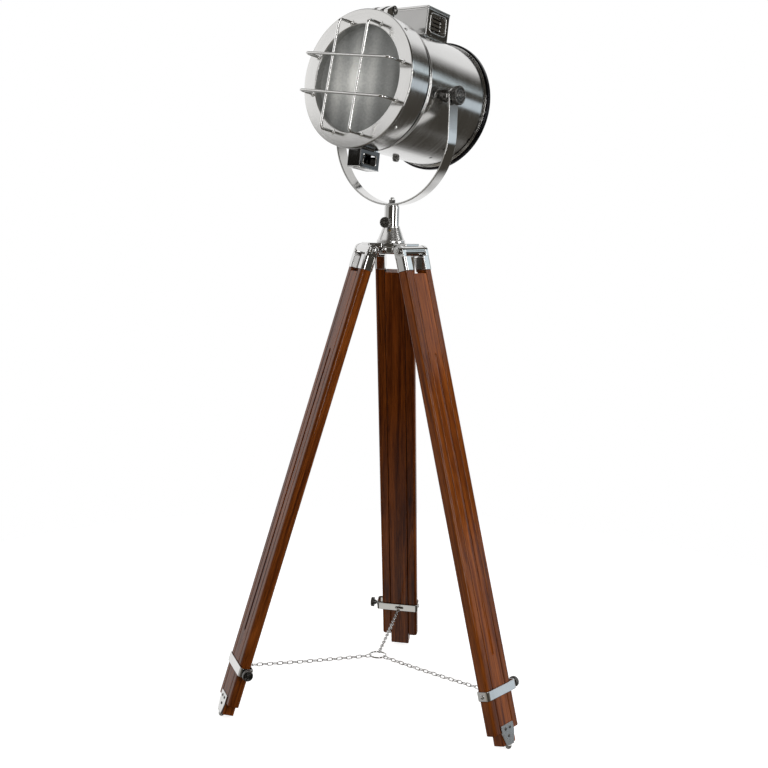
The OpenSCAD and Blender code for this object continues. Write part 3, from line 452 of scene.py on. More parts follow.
class Graph:
    """A node tree and short ways to add to it."""

    def __init__(self, tree):
        self.tree = tree

    def node(self, kind, inputs=None, **settings):
        """A node with its settings, and its inputs set to values or linked to sockets."""
        made = self.tree.nodes.new(kind)
        for key, value in settings.items():
            setattr(made, key, value)
        for key, value in (inputs or {}).items():
            self.feed(made.inputs[key], value)
        return made

    def feed(self, socket, value):
        """Links or sets one input."""
        if isinstance(value, bpy.types.NodeSocket):
            self.tree.links.new(value, socket)
        else:
            socket.default_value = value

    def noise(self, vector, scale, detail=3.0, distortion=0.0, roughness=0.5):
        """A noise value."""
        return self.node("ShaderNodeTexNoise", {"Vector": vector, "Scale": scale, "Detail": detail,
                                                "Distortion": distortion, "Roughness": roughness}).outputs["Fac"]

    def ranged(self, value, low, high, to_low, to_high):
        """A value taken from one range to another."""
        return self.node("ShaderNodeMapRange", {"Value": value, "From Min": low, "From Max": high,
                                                "To Min": to_low, "To Max": to_high}).outputs["Result"]

    def ramp(self, value, stops):
        """A colour ramp of (place, colour) stops."""
        made = self.node("ShaderNodeValToRGB", {"Fac": value})
        steps = made.color_ramp.elements
        while len(steps) < len(stops):
            steps.new(0.5)
        for step, (where, tint) in zip(steps, stops):
            step.position = where
            step.color = (*tint, 1.0)
        return made.outputs["Color"]

    def math(self, operation, *values):
        """The result of a sum on sockets and numbers."""
        return self.node("ShaderNodeMath", dict(enumerate(values)), operation=operation).outputs["Value"]

    def mixed(self, share, first, second, blend="MIX"):
        """Two colours blended."""
        made = self.node("ShaderNodeMix", {0: share, 6: first, 7: second}, data_type="RGBA", blend_type=blend)
        return made.outputs[2]


class Finish(Graph):
    """A node material with one principled surface."""

    def __init__(self, name):
        self.material = bpy.data.materials.new(name)
        self.material.use_nodes = True
        super().__init__(self.material.node_tree)
        self.surface = self.tree.nodes["Principled BSDF"]

    def set(self, **inputs):
        """Sets the surface's inputs by name."""
        for key, value in inputs.items():
            self.feed(self.surface.inputs[key.replace("_", " ")], value)

    def place(self, scale, source="object"):
        """Coordinates in metres, stretched: the piece's own pattern, or its object coordinates."""
        if source == "pattern":
            start = self.node("ShaderNodeAttribute", attribute_name="pattern").outputs["Vector"]
        else:
            start = self.node("ShaderNodeTexCoord").outputs["Object"]
        return self.node("ShaderNodeMapping", {"Vector": start, "Scale": scale}).outputs["Vector"]

    def bump(self, height, strength, distance):
        """Bumps the surface by a height."""
        made = self.node("ShaderNodeBump", {"Height": height, "Strength": strength, "Distance": distance})
        self.set(Normal=made.outputs["Normal"])


def tinted(base, amount):
    """A colour made lighter or darker."""
    return tuple(min(1.0, c * amount) for c in base)


def plated(name, base, rough, spread, cloud=0.92, source="object", hair=0.04):
    """Polished plate: mirror metal with faint clouding, handling haze and hairline polishing marks."""
    f = Finish(name)
    where = f.place((1, 1, 1), "object")
    clouds = f.noise(where, 14, 4)
    f.set(Metallic=1.0, Base_Color=f.ramp(clouds, [(0.3, tinted(base, cloud)), (0.7, base)]))
    haze = f.noise(where, 45, 5, 0.4)
    f.set(Roughness=f.ranged(haze, 0.35, 0.75, rough, rough + spread))
    hairs = f.noise(f.place((60, 60, 1400), "pattern") if source == "pattern" else f.place((900, 900, 120)), 1, 2)
    f.bump(hairs, hair, 0.0004)
    return f.material


def spun(name, base):
    """Satin plate on spun sheet: fine rings round the axis in tone, gloss and height."""
    f = Finish(name)
    rings = f.noise(f.place((25, 25, 2600), "pattern"), 1, 2, 0, 0.6)
    bands = f.noise(f.place((12, 12, 130), "pattern"), 1, 3)
    clouds = f.noise(f.place((1, 1, 1)), 9, 4)
    tone = f.node("ShaderNodeMix", {"Factor": 0.5, "A": clouds, "B": bands}).outputs["Result"]
    f.set(Metallic=1.0, Base_Color=f.ramp(tone, [(0.35, tinted(base, 0.93)), (0.65, base)]))
    f.set(Roughness=f.ranged(bands, 0.3, 0.7, 0.11, 0.19))
    f.bump(rings, 0.06, 0.0004)
    return f.material


def smoked(name, base):
    """Dark plate on knurled grips: darker in the hollows, rubbed bright on the edges."""
    f = Finish(name)
    clouds = f.noise(f.place((1, 1, 1)), 160, 4)
    worn = f.node("ShaderNodeNewGeometry").outputs["Pointiness"]
    edge = f.ranged(worn, 0.48, 0.56, 0.0, 1.0)
    body = f.ramp(clouds, [(0.3, tinted(base, 0.6)), (0.7, base)])
    f.set(Metallic=1.0, Base_Color=f.mixed(edge, body, (*tinted(base, 2.4), 1)),
          Roughness=f.ranged(clouds, 0.3, 0.7, 0.22, 0.36))
    f.bump(clouds, 0.05, 0.0003)
    return f.material


def varnished(name, dark, light, seed):
    """Hardwood under gloss varnish: growth rings seen along the slat, drawn-out pores, painted shade darkening the
    seams between the slats, and a clear coat.
    """
    f = Finish(name)
    where = f.node("ShaderNodeMapping", {"Vector": f.place((1, 1, 1), "pattern"), "Location": (seed, seed, seed)})
    where = where.outputs["Vector"]
    flow = f.node("ShaderNodeMapping", {"Vector": where, "Scale": (55, 55, 2.2)}).outputs["Vector"]
    grain = f.noise(flow, 1.0, 5, 1.6, 0.6)
    fine = f.noise(f.node("ShaderNodeMapping", {"Vector": where, "Scale": (900, 900, 22)}).outputs["Vector"], 1, 3)
    pores = f.noise(f.node("ShaderNodeMapping", {"Vector": where, "Scale": (1500, 1500, 45)}).outputs["Vector"], 1, 1)
    tone = f.node("ShaderNodeMath", {0: grain, 1: f.ranged(fine, 0.3, 0.7, -0.09, 0.09)}, operation="ADD")
    middle = tuple(0.55 * a + 0.45 * b for a, b in zip(dark, light))
    wood = f.ramp(tone.outputs["Value"], [(0.28, dark), (0.44, middle), (0.58, light), (0.74, tinted(light, 1.35))])
    pores_and_seam_shade = f.mixed(f.ranged(pores, 0.62, 0.72, 0.0, 0.7), wood, (0.25, 0.18, 0.15, 1), "MULTIPLY")
    # Painted shade: ambient occlusion darkens the wood's colour in the seams between the slats.
    seam_shade = f.node("ShaderNodeAmbientOcclusion", {"Distance": 0.006}, samples=6).outputs["AO"]
    seam_shade = f.ranged(seam_shade, 0.35, 0.85, 0.06, 1.0)
    pores_and_seam_shade = f.mixed(1.0, pores_and_seam_shade, seam_shade, "MULTIPLY")
    f.set(Base_Color=pores_and_seam_shade, Roughness=f.ranged(fine, 0.3, 0.7, 0.30, 0.45))
    f.set(Coat_Weight=0.55, Coat_Roughness=0.04, Coat_IOR=1.5, Specular_IOR_Level=0.0)
    f.bump(f.noise(where, 18, 3), 0.05, 0.002)
    return f.material


def frosted(name):
    """Frosted and pebbled glass, with a painted reflection of the reflector in its colour, which it also gives off as
    painted glow.
    """
    f = Finish(name)
    where = f.place((1, 1, 1))
    cells = f.node("ShaderNodeTexVoronoi", {"Vector": where, "Scale": 210.0}, feature="SMOOTH_F1")
    pebbles = cells.outputs["Distance"]
    frost = f.noise(where, 900, 3)
    # Painted reflection and glow: the colour, also given off as light, draws the reflector behind as if it showed
    # through the frost, as a pale middle with darker bands beside it and a dark rim.
    split = f.node("ShaderNodeSeparateXYZ", {"Vector": f.place((1, 1, 1), "pattern")}).outputs
    aside = f.math("ADD", split["X"], 0.02)
    squares = f.math("ADD", f.math("MULTIPLY", aside, aside), f.math("MULTIPLY", split["Y"], split["Y"]))
    off_axis = f.math("SQRT", squares)
    painted_bands = f.math("COSINE", f.math("MULTIPLY", aside, 130.0))
    glow = f.math("MULTIPLY_ADD", painted_bands, 0.09, f.ranged(off_axis, 0.0, 0.11, 0.80, 0.36))
    specks = f.noise(where, 190, 4)
    glow = f.math("MULTIPLY_ADD", f.noise(where, 12, 3), 0.12, glow)
    glow = f.math("MULTIPLY_ADD", specks, 0.30, glow)
    tone = f.ramp(glow, [(0.2, (0.13, 0.14, 0.14)), (0.7, (0.52, 0.53, 0.52)), (1.0, (0.93, 0.93, 0.90))])
    # Painted glow: the lens gives off its painted colour, most strongly in the middle.
    f.set(Base_Color=tone, Emission_Color=tone, Emission_Strength=f.ranged(off_axis, 0.0, 0.08, 0.22, 0.05))
    f.set(Transmission_Weight=0.35, IOR=1.46, Roughness=f.ranged(frost, 0.3, 0.7, 0.30, 0.42))
    f.bump(pebbles, 0.35, 0.0015)
    return f.material


def plain(name, light, dark, rough, metal=0.0, scale=60.0, coat=0.0, glow=0.0):
    """A simple finish with clouding in its colour and gloss."""
    f = Finish(name)
    clouds = f.noise(f.place((1, 1, 1)), scale, 4)
    f.set(Base_Color=f.ramp(clouds, [(0.3, dark), (0.7, light)]), Metallic=metal, Coat_Weight=coat)
    f.set(Roughness=f.ranged(clouds, 0.3, 0.7, rough, rough + 0.1))
    if glow:
        f.set(Emission_Color=(*light, 1), Emission_Strength=glow)
    f.bump(clouds, 0.05, 0.0003)
    return f.material


def finishes():
    """Every material, made once and kept by name."""
    if "frosted lens" not in bpy.data.materials:
        tint = bpy.context.scene.lamp_finish
        plated("polished nickel", tuple(tint.nickel), 0.05, 0.07)
        plated("turned nickel", tuple(tint.nickel), 0.06, 0.08, source="pattern")
        plated("darkened nickel", tinted(tint.nickel, 0.58), 0.07, 0.06)
        # The nickel at a sixth of its brightness: painted shade for the catch box.
        plated("nickel darkened as painted shade", tinted(tint.nickel, 0.16), 0.06, 0.06)
        plated("bright wire", tinted(tint.nickel, 1.18), 0.12, 0.08, hair=0.0)
        plated("brushed nickel", tuple(tint.nickel), 0.24, 0.08, source="pattern")
        plated("black trim and painted shade", (0.020, 0.020, 0.022), 0.20, 0.10)
        spun("spun satin nickel", tuple(tint.satin))
        smoked("smoked nickel", tuple(tint.smoked))
        varnished("middle slats", tuple(tint.wood_dark), tuple(tint.wood_light), 0.0)
        varnished("outer slats", tinted(tint.wood_dark, 0.8), tinted(tint.wood_light, 0.85), 3.7)
        frosted("frosted lens")
        plain("bright aluminium", (0.92, 0.92, 0.92), (0.84, 0.84, 0.84), 0.22, metal=1.0)
        plain("glazed porcelain", (0.86, 0.85, 0.80), (0.80, 0.78, 0.72), 0.25, coat=0.6)
        plain("opal bulb", (0.95, 0.95, 0.93), (0.90, 0.90, 0.88), 0.3, coat=0.5)
        plain("turned brass", (0.78, 0.58, 0.26), (0.60, 0.42, 0.17), 0.22, metal=1.0, scale=200.0)
    return bpy.data.materials


NICKEL, TURNED, SATIN, SMOKED = "polished nickel", "turned nickel", "spun satin nickel", "smoked nickel"
DARKENED, BRIGHT, BRUSHED, BLACK_AND_SHADE = "darkened nickel", "bright wire", "brushed nickel", "black trim and painted shade"
SHADE_PAINTED = "nickel darkened as painted shade"
MIDDLE, OUTER, FROSTED = "middle slats", "outer slats", "frosted lens"
SLOTS = {NICKEL: "nickel", TURNED: "nickel", SATIN: "satin_nickel", SMOKED: "dark_nickel",
         DARKENED: "nickel", SHADE_PAINTED: "nickel", BRIGHT: "nickel", BRUSHED: "nickel", BLACK_AND_SHADE: "dark_nickel",
         MIDDLE: "varnished_wood", OUTER: "varnished_wood", FROSTED: "frosted_glass"}


def make(form, name, finish, body, *replaces, sharp=38):
    """Turns a form into a piece with a named finish."""
    return form.piece(name, finishes()[finish], body, SLOTS[finish], replaces, sharp)


# ---------------------------------------------------------------- small hardware

def grip(form, place, reach, radius, depth, teeth):
    """A knurled grip on a threaded shank along z: neck, toothed rim from z = reach, and a dished face with rings."""
    face = reach + depth
    outline = rounded([
        (0, reach - 5 * MM), (0.42 * radius, reach - 5 * MM), (0.55 * radius, reach + 0.4 * MM),
        (0.90 * radius, reach + 0.4 * MM), (radius, reach + 1.4 * MM), (radius, face - 1.2 * MM),
        (0.90 * radius, face), (0.80 * radius, face), (0.76 * radius, face - 1.5 * MM),
        (0.60 * radius, face - 1.5 * MM), (0.56 * radius, face - 0.3 * MM), (0.48 * radius, face - 0.3 * MM),
        (0.44 * radius, face - 1.1 * MM), (0.30 * radius, face - 1.1 * MM), (0.24 * radius, face + 0.6 * MM),
        (0, face + 0.6 * MM)], 0.35 * MM, 2)
    form.lathe(outline, place, turns=teeth * 6, teeth=teeth, depth=0.06 * radius, tooth_from=0.93 * radius)


def thumb_screw(form, place, reach, radius, depth, teeth, shank):
    """A grip with its shank from z = 0."""
    form.lathe(box_outline(0, shank, 0, reach, 0.4 * MM), place, turns=24)
    grip(form, place, reach, radius, depth, teeth)


def dome(radius, height, steps=8):
    """The outline of a dome head: an arc from the rim at z = 0 up to the axis."""
    a = np.linspace(0, np.pi / 2, steps)
    return np.concatenate([[(0.0, 0.0)], np.stack([radius * np.cos(a), height * np.sin(a)], 1)])


def hexagon(form, place, across, low, high):
    """A hexagon nut with its corners turned off at both ends."""
    a = np.arange(6) * TURN / 6
    corners = across / np.sqrt(3) * np.stack([np.cos(a), np.sin(a)], 1)
    form.block(rounded(corners, 0.3 * MM, 2), low, high, 0.5 * MM, place)


# ---------------------------------------------------------------- pieces: hub and yoke

class LAMP_OT_hub(bpy.types.Operator):
    """Makes the hub: the three-armed plate with its lugs, the cone, the socket tube and the screws."""
    bl_idname = "lamp.hub"
    bl_label = "Hub"

    def execute(self, context):
        size = context.scene.lamp_stand
        body_r, arm_w, arm_t, top = 34 * MM, 48.6 * MM, 10 * MM, 16 * MM
        hinge_r = np.linalg.norm(np.array(JOINTS["side_leg_fold"]["pos_m"])[:2] - AXIS[:2])
        turns = [np.arctan2(*(np.array(JOINTS[f"{leg}_leg_fold"]["pos_m"])[:2] - AXIS[:2])[::-1]) for leg in LEGS]
        lug_r, lug_half = 12 * MM, 34.3 * MM
        bore = size.tube_r + FIT

        plate = Form(HUB)
        plate.lathe(box_outline(bore, body_r, -6 * MM, top - arm_t + 1 * MM, 2 * MM), turns=96)
        arc = np.linspace(np.radians(42), np.radians(78), 7)
        disc = (body_r + 4 * MM) * np.stack([np.cos(arc), np.sin(arc)], 1)
        end, half = hinge_r + 4 * MM, arm_w / 2
        sector = np.concatenate([[(end, -half), (end, half), (31 * MM, half)], disc])
        star = [sector @ np.array([[np.cos(t), np.sin(t)], [-np.sin(t), np.cos(t)]]) for t in sorted(turns)]
        soft = np.tile(np.array([3, 3, 4] + [1.0] * len(disc)) * MM, 3)
        plate.block(rounded(np.concatenate(star), soft, 3), top - arm_t, top, 1.5 * MM)
        for leg in LEGS:
            along = leg_place(leg).at((0, 0, 0), z=(0, 1, 0))
            plate.lathe(box_outline(BORE, lug_r, -lug_half, lug_half, 1.5 * MM), along, turns=48)
        make(plate, "hub_plate", NICKEL, "stand", "hub_spider")

        cone_top = 53 * MM
        cone = rounded([(bore, top), (31.5 * MM, top), (31.5 * MM, top + 5.5 * MM), (29.5 * MM, top + 6.5 * MM),
                        (19.0 * MM, cone_top - 3 * MM), (18.6 * MM, cone_top), (bore, cone_top)],
                       [0.2 * MM, 1.2 * MM, 1.8 * MM, 1.5 * MM, 2 * MM, 0.8 * MM, 0.2 * MM])
        make(Form(HUB).lathe(cone, turns=128), "hub_cone_turned", BRUSHED, "stand", "hub_cone")
        tube_low, tube_top, tube_in = -4 * MM, 96 * MM, 13.1 * MM
        tube = rounded([(tube_in, tube_low), (size.tube_r, tube_low), (size.tube_r, tube_top),
                        (tube_in, tube_top)], [0.2 * MM, 0.4 * MM, 1.2 * MM, 0.8 * MM])
        make(Form(HUB).lathe(tube, turns=96), "socket_tube_turned", TURNED, "stand", "socket_tube")

        thumb = turning_place("tube_clamp_turn")
        screw = Form(thumb.at((0, 0, tube_in)))
        thumb_screw(screw, None, 16 * MM, size.thumb_r, 9 * MM, 30, 3 * MM)
        make(screw, "tube_thumb_screw_knurled", SMOKED, "tube_clamp", "tube_thumb_screw")
        return {"FINISHED"}


class LAMP_OT_yoke(bpy.types.Operator):
    """Makes the yoke's strip, its stem and nut, the tilt knobs and the bosses they screw into."""
    bl_idname = "lamp.yoke"
    bl_label = "Yoke and tilt knobs"

    def execute(self, context):
        size = context.scene.lamp_stand
        drop = PIVOT[2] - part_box("yoke")[0][2]
        bend = -drop + size.yoke_t / 2 + size.yoke_r
        half = size.yoke_w / 2
        a = np.linspace(np.pi, 2 * np.pi, 97)
        arc = np.stack([size.yoke_r * np.cos(a), 0 * a, bend + size.yoke_r * np.sin(a)], 1)
        rise = np.linspace(bend, 0, 10)[1:]
        tip = np.linspace(0, np.pi / 2, 16)[1:-1]
        tip = np.append(tip, 0.985 * np.pi / 2)
        arm_z = np.concatenate([rise, half * np.sin(tip)])
        arm = np.stack([np.full(len(arm_z), size.yoke_r), 0 * arm_z, arm_z], 1)
        path = np.concatenate([arm[::-1] * (-1, 1, 1), arc, arm])
        taper = np.concatenate([np.cos(tip)[::-1], np.ones(2 * len(rise) + len(arc)), np.cos(tip)])
        strip = Form(YOKE)
        section = oblong(size.yoke_w, size.yoke_t, 1.3 * MM, 4)
        strip.add(swept(section, path, (0, 1, 0), width=taper), ends=True)
        make(strip, "yoke_strip", NICKEL, "fork", "yoke")

        foot = YOKE.at((0, 0, -drop))
        stem = Form(foot)
        stem.lathe(box_outline(0, 13 * MM, -80 * MM, -2.2 * MM, 0.5 * MM), turns=48)
        stem.lathe(box_outline(0, 15.6 * MM, -1.9 * MM, -FIT, 0.5 * MM), turns=64)
        stem.lathe(box_outline(0, 4 * MM, -2 * MM, 17.5 * MM, 0.7 * MM), turns=32)
        make(stem, "yoke_stem_turned", TURNED, "fork", "yoke_stem")
        nut = Form(foot.at((0, 0, size.yoke_t + FIT)))
        nut.lathe(box_outline(BORE, 9 * MM, 0, 1.5 * MM, 0.4 * MM), turns=48)
        hexagon(nut, None, 13 * MM, 1.6 * MM, 8.5 * MM)
        nut.lathe(dome(4.6 * MM, 3 * MM), nut.place.at((0, 0, 11 * MM)), turns=32)
        make(nut, "stem_nut_hex", SMOKED, "fork", "stem_nut")

        for hand in ("right", "left"):
            place = turning_place(f"{hand}_knob_turn")
            knob = Form(place)
            seat = 4.6 * MM + 0.3 * MM
            knob.lathe(box_outline(0, 5 * MM, -16 * MM, 8 * MM, 0.4 * MM), turns=32)
            knob.lathe(box_outline(5.1 * MM, 11.5 * MM, seat, seat + 1.8 * MM, 0.5 * MM), turns=64)
            knob.lathe(rounded([(0, seat + 2 * MM), (9 * MM, seat + 2 * MM), (11 * MM, seat + 6 * MM),
                                (0, seat + 6 * MM)], 0.5 * MM), turns=48)
            grip(knob, place, seat + 4 * MM, size.knob_r, 12 * MM, 44)
            make(knob, f"{hand}_tilt_knob_knurled", SMOKED, f"{hand}_knob", f"{hand}_tilt_knob")
        bosses = Form(tilted_place())
        for way in (1, -1):
            place = tilted_place().at((0, 0, 0), z=(way, 0, 0))
            wall = context.scene.lamp_body.drum_r - context.scene.lamp_body.sheet
            bosses.lathe(rounded([(5.1 * MM, wall - 9 * MM), (14 * MM, wall - 9 * MM), (14 * MM, 144 * MM),
                                  (12 * MM, 146 * MM), (12 * MM, 150.7 * MM), (5.1 * MM, 150.7 * MM)], 0.6 * MM),
                         place, turns=64)
        make(bosses, "tilt_bosses_turned", SMOKED, "spotlight", "tilt_bosses")
        return {"FINISHED"}


# ---------------------------------------------------------------- pieces: spotlight

class LAMP_OT_drum(bpy.types.Operator):
    """Makes the drum with its vent slots and beads, and the rear cap with its rolled rim."""
    bl_idname = "lamp.drum"
    bl_label = "Drum"

    def execute(self, context):
        size = context.scene.lamp_body
        place = drum_place()
        slot_half, slot_r = 4.5 * MM, 2.2 * MM
        slot_rows = (-86 * MM, -135 * MM)
        slot_turns = np.radians([21, 37.5, 54])
        beads = (66 * MM, 60.5 * MM)

        # Columns of the wall, closer where a slot is; the slots lie about the lowest line, at -90 degrees.
        across = np.array([-5.8, -4.5, -4.25, -3.5, -2.3, 0, 2.3, 3.5, 4.25, 4.5, 5.8]) * MM / size.drum_r
        middles = -np.pi / 2 + np.concatenate([-slot_turns, slot_turns])
        columns = np.arange(144) * TURN / 144 - np.pi
        far = np.abs(columns[:, None] - middles[None]).min(1) > 7.0 * MM / size.drum_r
        columns = np.unique(np.concatenate([columns[far], (middles[:, None] + across[None]).ravel()]))
        reach = np.abs(columns[:, None] - middles[None]).min(1) * size.drum_r
        # Half height of the slot band: a stadium over the slot that opens again beyond its ends.
        bow = np.sqrt(np.clip(1 - ((reach - (slot_half - slot_r)) / slot_r) ** 2, 0, 1))
        band = slot_r * np.where(reach < slot_half - slot_r, 1, np.where(reach <= slot_half + 1e-9, bow, 1))

        rows = []
        for z in beads:
            a = np.linspace(0, np.pi, 9)
            rows += [(z + 2.3 * MM * np.cos(t), 2.3 * MM * np.sin(t), 0) for t in a]
        for z in slot_rows:
            rows += [(z, 0, +1), (z, 0, -1)]
        plain_rows = [size.drum_front, 84 * MM, 72 * MM, 40 * MM, 0, -40 * MM, -78 * MM, -94 * MM, -127 * MM,
                      -143 * MM, -size.drum_back]
        rows += [(z, 0, 0) for z in plain_rows]
        rows.sort(key=lambda row: -(row[0] + row[2] * 1e-4))
        z, lift, edge = np.array(rows).T
        heights = z[:, None] + edge[:, None] * band[None]
        radius = size.drum_r + np.broadcast_to(lift[:, None], heights.shape)
        inner = np.full_like(heights, size.drum_r - size.sheet)
        ring = np.stack([np.cos(columns), np.sin(columns)], -1)
        outside = np.concatenate([radius[..., None] * ring, heights[..., None]], -1)
        inside = np.concatenate([inner[..., None] * ring, heights[..., None]], -1)
        in_slot = reach < slot_half + 1e-6
        in_slot = in_slot & np.roll(in_slot, -1)
        gap_row = (edge[:-1] > 0) & (edge[1:] < 0)
        hole = gap_row[:, None] & in_slot[None]
        wall = Form(place)
        run = np.broadcast_to(heights[..., None], (*heights.shape, 1))
        pattern = np.concatenate([np.broadcast_to(0.02 * ring, (*heights.shape, 2)), run], -1)
        wall.shell(outside, inside, pattern, hole)
        drum = make(wall, "drum_wall", SATIN, "spotlight", "drum", sharp=50)
        # The inside of the wall and the slots' walls take the black finish: painted shade where the slots look into
        # the drum.
        drum.data.materials.append(finishes()[BLACK_AND_SHADE])
        centres = np.array([face.center for face in drum.data.polygons])
        off_axis = np.linalg.norm(((centres - place.origin) @ place.axes.T)[:, :2], axis=1)
        dark = off_axis < size.drum_r - 0.3 * size.sheet
        drum.data.polygons.foreach_set("material_index", dark.astype(np.int32))
        # A black band round the drum just behind the skirt's rear edge: painted shadow of the gap between the skirt
        # and the drum.
        gap_shadow_band = Form(place)
        seat_r, trim_r = size.drum_r + FIT, size.drum_r + 3.2 * MM
        gap_shadow_band.lathe(box_outline(seat_r, trim_r, 69 * MM, size.skirt_back - 0.4 * MM, 1 * MM), turns=160)
        make(gap_shadow_band, "skirt_gap_painted_shadow", BLACK_AND_SHADE, "spotlight")

        back, depth = -size.drum_back, 12 * MM
        rear = back - depth + 4 * MM
        r = size.rim_r
        face_r = size.drum_r - 4 * MM
        rim = rounded([(seat_r, back + 4 * MM), (r - 0.4 * MM, back + 4 * MM), (r, back + 2 * MM),
                       (r, rear + 2 * MM), (r - 2 * MM, rear), (face_r, rear), (face_r, rear + 2 * MM),
                       (seat_r, rear + 2 * MM)], np.array([0.5, 1, 2, 3, 3, 1, 0.5, 0.5]) * MM)
        make(Form(place).lathe(rim, turns=160), "rear_rim_rolled", BLACK_AND_SHADE, "spotlight")
        flange = box_outline(seat_r, trim_r, back + 4.1 * MM, back + 5.6 * MM, 0.5 * MM)
        make(Form(place).lathe(flange, turns=160), "rear_flange", NICKEL, "spotlight")
        cap = Form(place)
        dome_r = 620 * MM
        a = np.linspace(0, np.arcsin(face_r / dome_r), 24)
        curve = np.stack([dome_r * np.sin(a), rear - 14 * MM + dome_r * (1 - np.cos(a))], 1)
        cap.lathe(np.concatenate([curve, curve[::-1] + (0, size.sheet)]), turns=160)
        make(cap, "rear_cap_spun", SATIN, "spotlight", "rear_cap")
        return {"FINISHED"}


def upright_place():
    """The drum's frame with x to the right, y back and z up."""
    return drum_place().at((0, 0, 0), z=(0, 1, 0))


def saddle(form, place, inner, outer, half, back, front, edge, under=False):
    """A plate bent round the drum's axis, as wide as 2 half: (r sin a, r cos a, z) with a from one side to the other
    and (r, z) round a rounded rectangle. under puts it below the axis."""
    turn = np.arcsin(half / outer)
    a = np.linspace(-turn, turn, 41)[:, None]
    section = box_outline(inner, outer, back, front, edge, 3)
    r, z = section[:, 0], section[:, 1]
    points = np.stack([r * np.sin(a), r * np.cos(a) * (-1 if under else 1), z + 0 * a], -1)
    form.add(points, place=place, ends=True)


def screw_head(form, place, radius, height):
    """A round head with a socket in it: the outline goes up the rim, over the crown and down into the socket."""
    form.lathe(rounded([(0, 0), (radius, 0), (radius, 0.45 * height), (0.62 * radius, height), (0.36 * radius, height),
                        (0.30 * radius, 0.35 * height), (0, 0.30 * height)], 0.2 * height, 2), place, turns=24)


def box_shell(name, finish, place, half, front, back, low, top, radius, side_window, body, node):
    """A sheet-metal box on the drum, open to it: a rounded block, less its inside, less a window in each side."""
    wall, middle, deep = 2 * MM, (front + back) / 2, abs(back - front)
    case = Form(place)
    case.block(oblong(2 * half, deep, radius, 4, (0, middle)), min(low, top), max(low, top), 1.0 * MM)
    shell_piece = make(case, name, finish, body, node)
    inside = Form(place)
    away = np.sign(top - low)
    ends = sorted((low - away * 20 * MM, top - away * wall))
    inside.block(oblong(2 * half - 2 * wall, deep - 2 * wall, 1 * MM, 2, (0, middle)), *ends, 0.2 * MM)
    cut(shell_piece, inside)
    y0, y1, z0, z1, r = side_window
    across = place.at((0, 0, 0), z=(1, 0, 0), x=(0, 1, 0))
    hole = Form(across)
    hole.block(oblong(y1 - y0, z1 - z0, r, 6, ((y0 + y1) / 2, (z0 + z1) / 2)), -2 * half, 2 * half, 0.2 * MM)
    return cut(shell_piece, hole)


def window_beads(form, half, window, radius, corner_steps, steps):
    """A wire round the window in each side of a box that is as wide as 2 half."""
    y0, y1, z0, z1, soft = window
    outline = oblong(y1 - y0, z1 - z0, soft, corner_steps, ((y0 + y1) / 2, (z0 + z1) / 2))
    for way in (1, -1):
        path = np.stack([np.full(len(outline), way * (half + 0.2 * MM)), outline[:, 0], outline[:, 1]], 1)
        form.wire(path, radius, (1, 0, 0), closed=True, steps=steps)


class LAMP_OT_boxes(bpy.types.Operator):
    """Makes the vent box on the drum with its flange and window beads, the screws, and the cable gland below."""
    bl_idname = "lamp.boxes"
    bl_label = "Top box and gland"

    def execute(self, context):
        size = context.scene.lamp_body
        place, upright = drum_place(), upright_place()
        half, front, back, top = 50 * MM, 17 * MM, 100 * MM, 190 * MM
        low = size.drum_r - 14 * MM
        rim = 12 * MM
        window = (front + rim, back - rim, size.drum_r, top - rim, 9 * MM)
        # The case takes a darker copy of the polished nickel, just as glossy.
        case = box_shell("top_box_case", DARKENED, upright, half, front, back, low, top - 1.6 * MM, 2.5 * MM,
                         window, "spotlight", "top_box")
        drum_room = Form(place)
        drum_room.lathe(box_outline(0, size.drum_r - 0.4 * MM, -200 * MM, 100 * MM, 1 * MM), turns=192)
        cut(case, drum_room)
        trim = Form(upright)
        trim.block(oblong(2 * half + 2.6 * MM, back - front + 2.6 * MM, 3.4 * MM, 4, (0, (front + back) / 2)),
                   top - 4.2 * MM, top, 1.1 * MM)
        trim.block(oblong(2 * half + 1.6 * MM, back - front + 1.6 * MM, 3 * MM, 4, (0, (front + back) / 2)),
                   top - 7.6 * MM, top - 5.2 * MM, 0.8 * MM)
        saddle(trim, place, size.drum_r + FIT, size.drum_r + 2 * MM, half + 7 * MM, -(back + 7 * MM),
               -(front - 7 * MM), 0.5 * MM)
        make(trim, "top_box_trim", NICKEL, "spotlight")
        beads = Form(upright)
        window_beads(beads, half, window, 1.1 * MM, 8, 10)
        make(beads, "top_box_window_beads", NICKEL, "spotlight")
        screws = Form(place)
        reach = np.arcsin((half + 3.5 * MM) / size.drum_r)
        for turn in (reach, -reach):
            for z in (-(front + rim), -(back - rim)):
                way = np.array((np.sin(turn), np.cos(turn), 0))
                screw_head(screws, place.at(way * (size.drum_r + 2.1 * MM) + (0, 0, z), z=way), 3.2 * MM, 1.6 * MM)
        make(screws, "top_box_screw_heads", SMOKED, "spotlight", "case_screws")
        gland = Form(place.at((0, -size.drum_r, -24 * MM), z=(0, -1, 0)))
        hexagon(gland, None, 14.6 * MM, FIT, 6 * MM)
        gland.lathe(box_outline(3.6 * MM, 5.5 * MM, -5 * MM, 10 * MM, 0.9 * MM), turns=48)
        gland.lathe(box_outline(5.6 * MM, 8 * MM, 6.2 * MM, 9 * MM, 0.8 * MM) * (0.86, 1), turns=36)
        make(gland, "cable_gland_hex", SMOKED, "spotlight", "cable_gland")
        return {"FINISHED"}


# ---------------------------------------------------------------- pieces: door

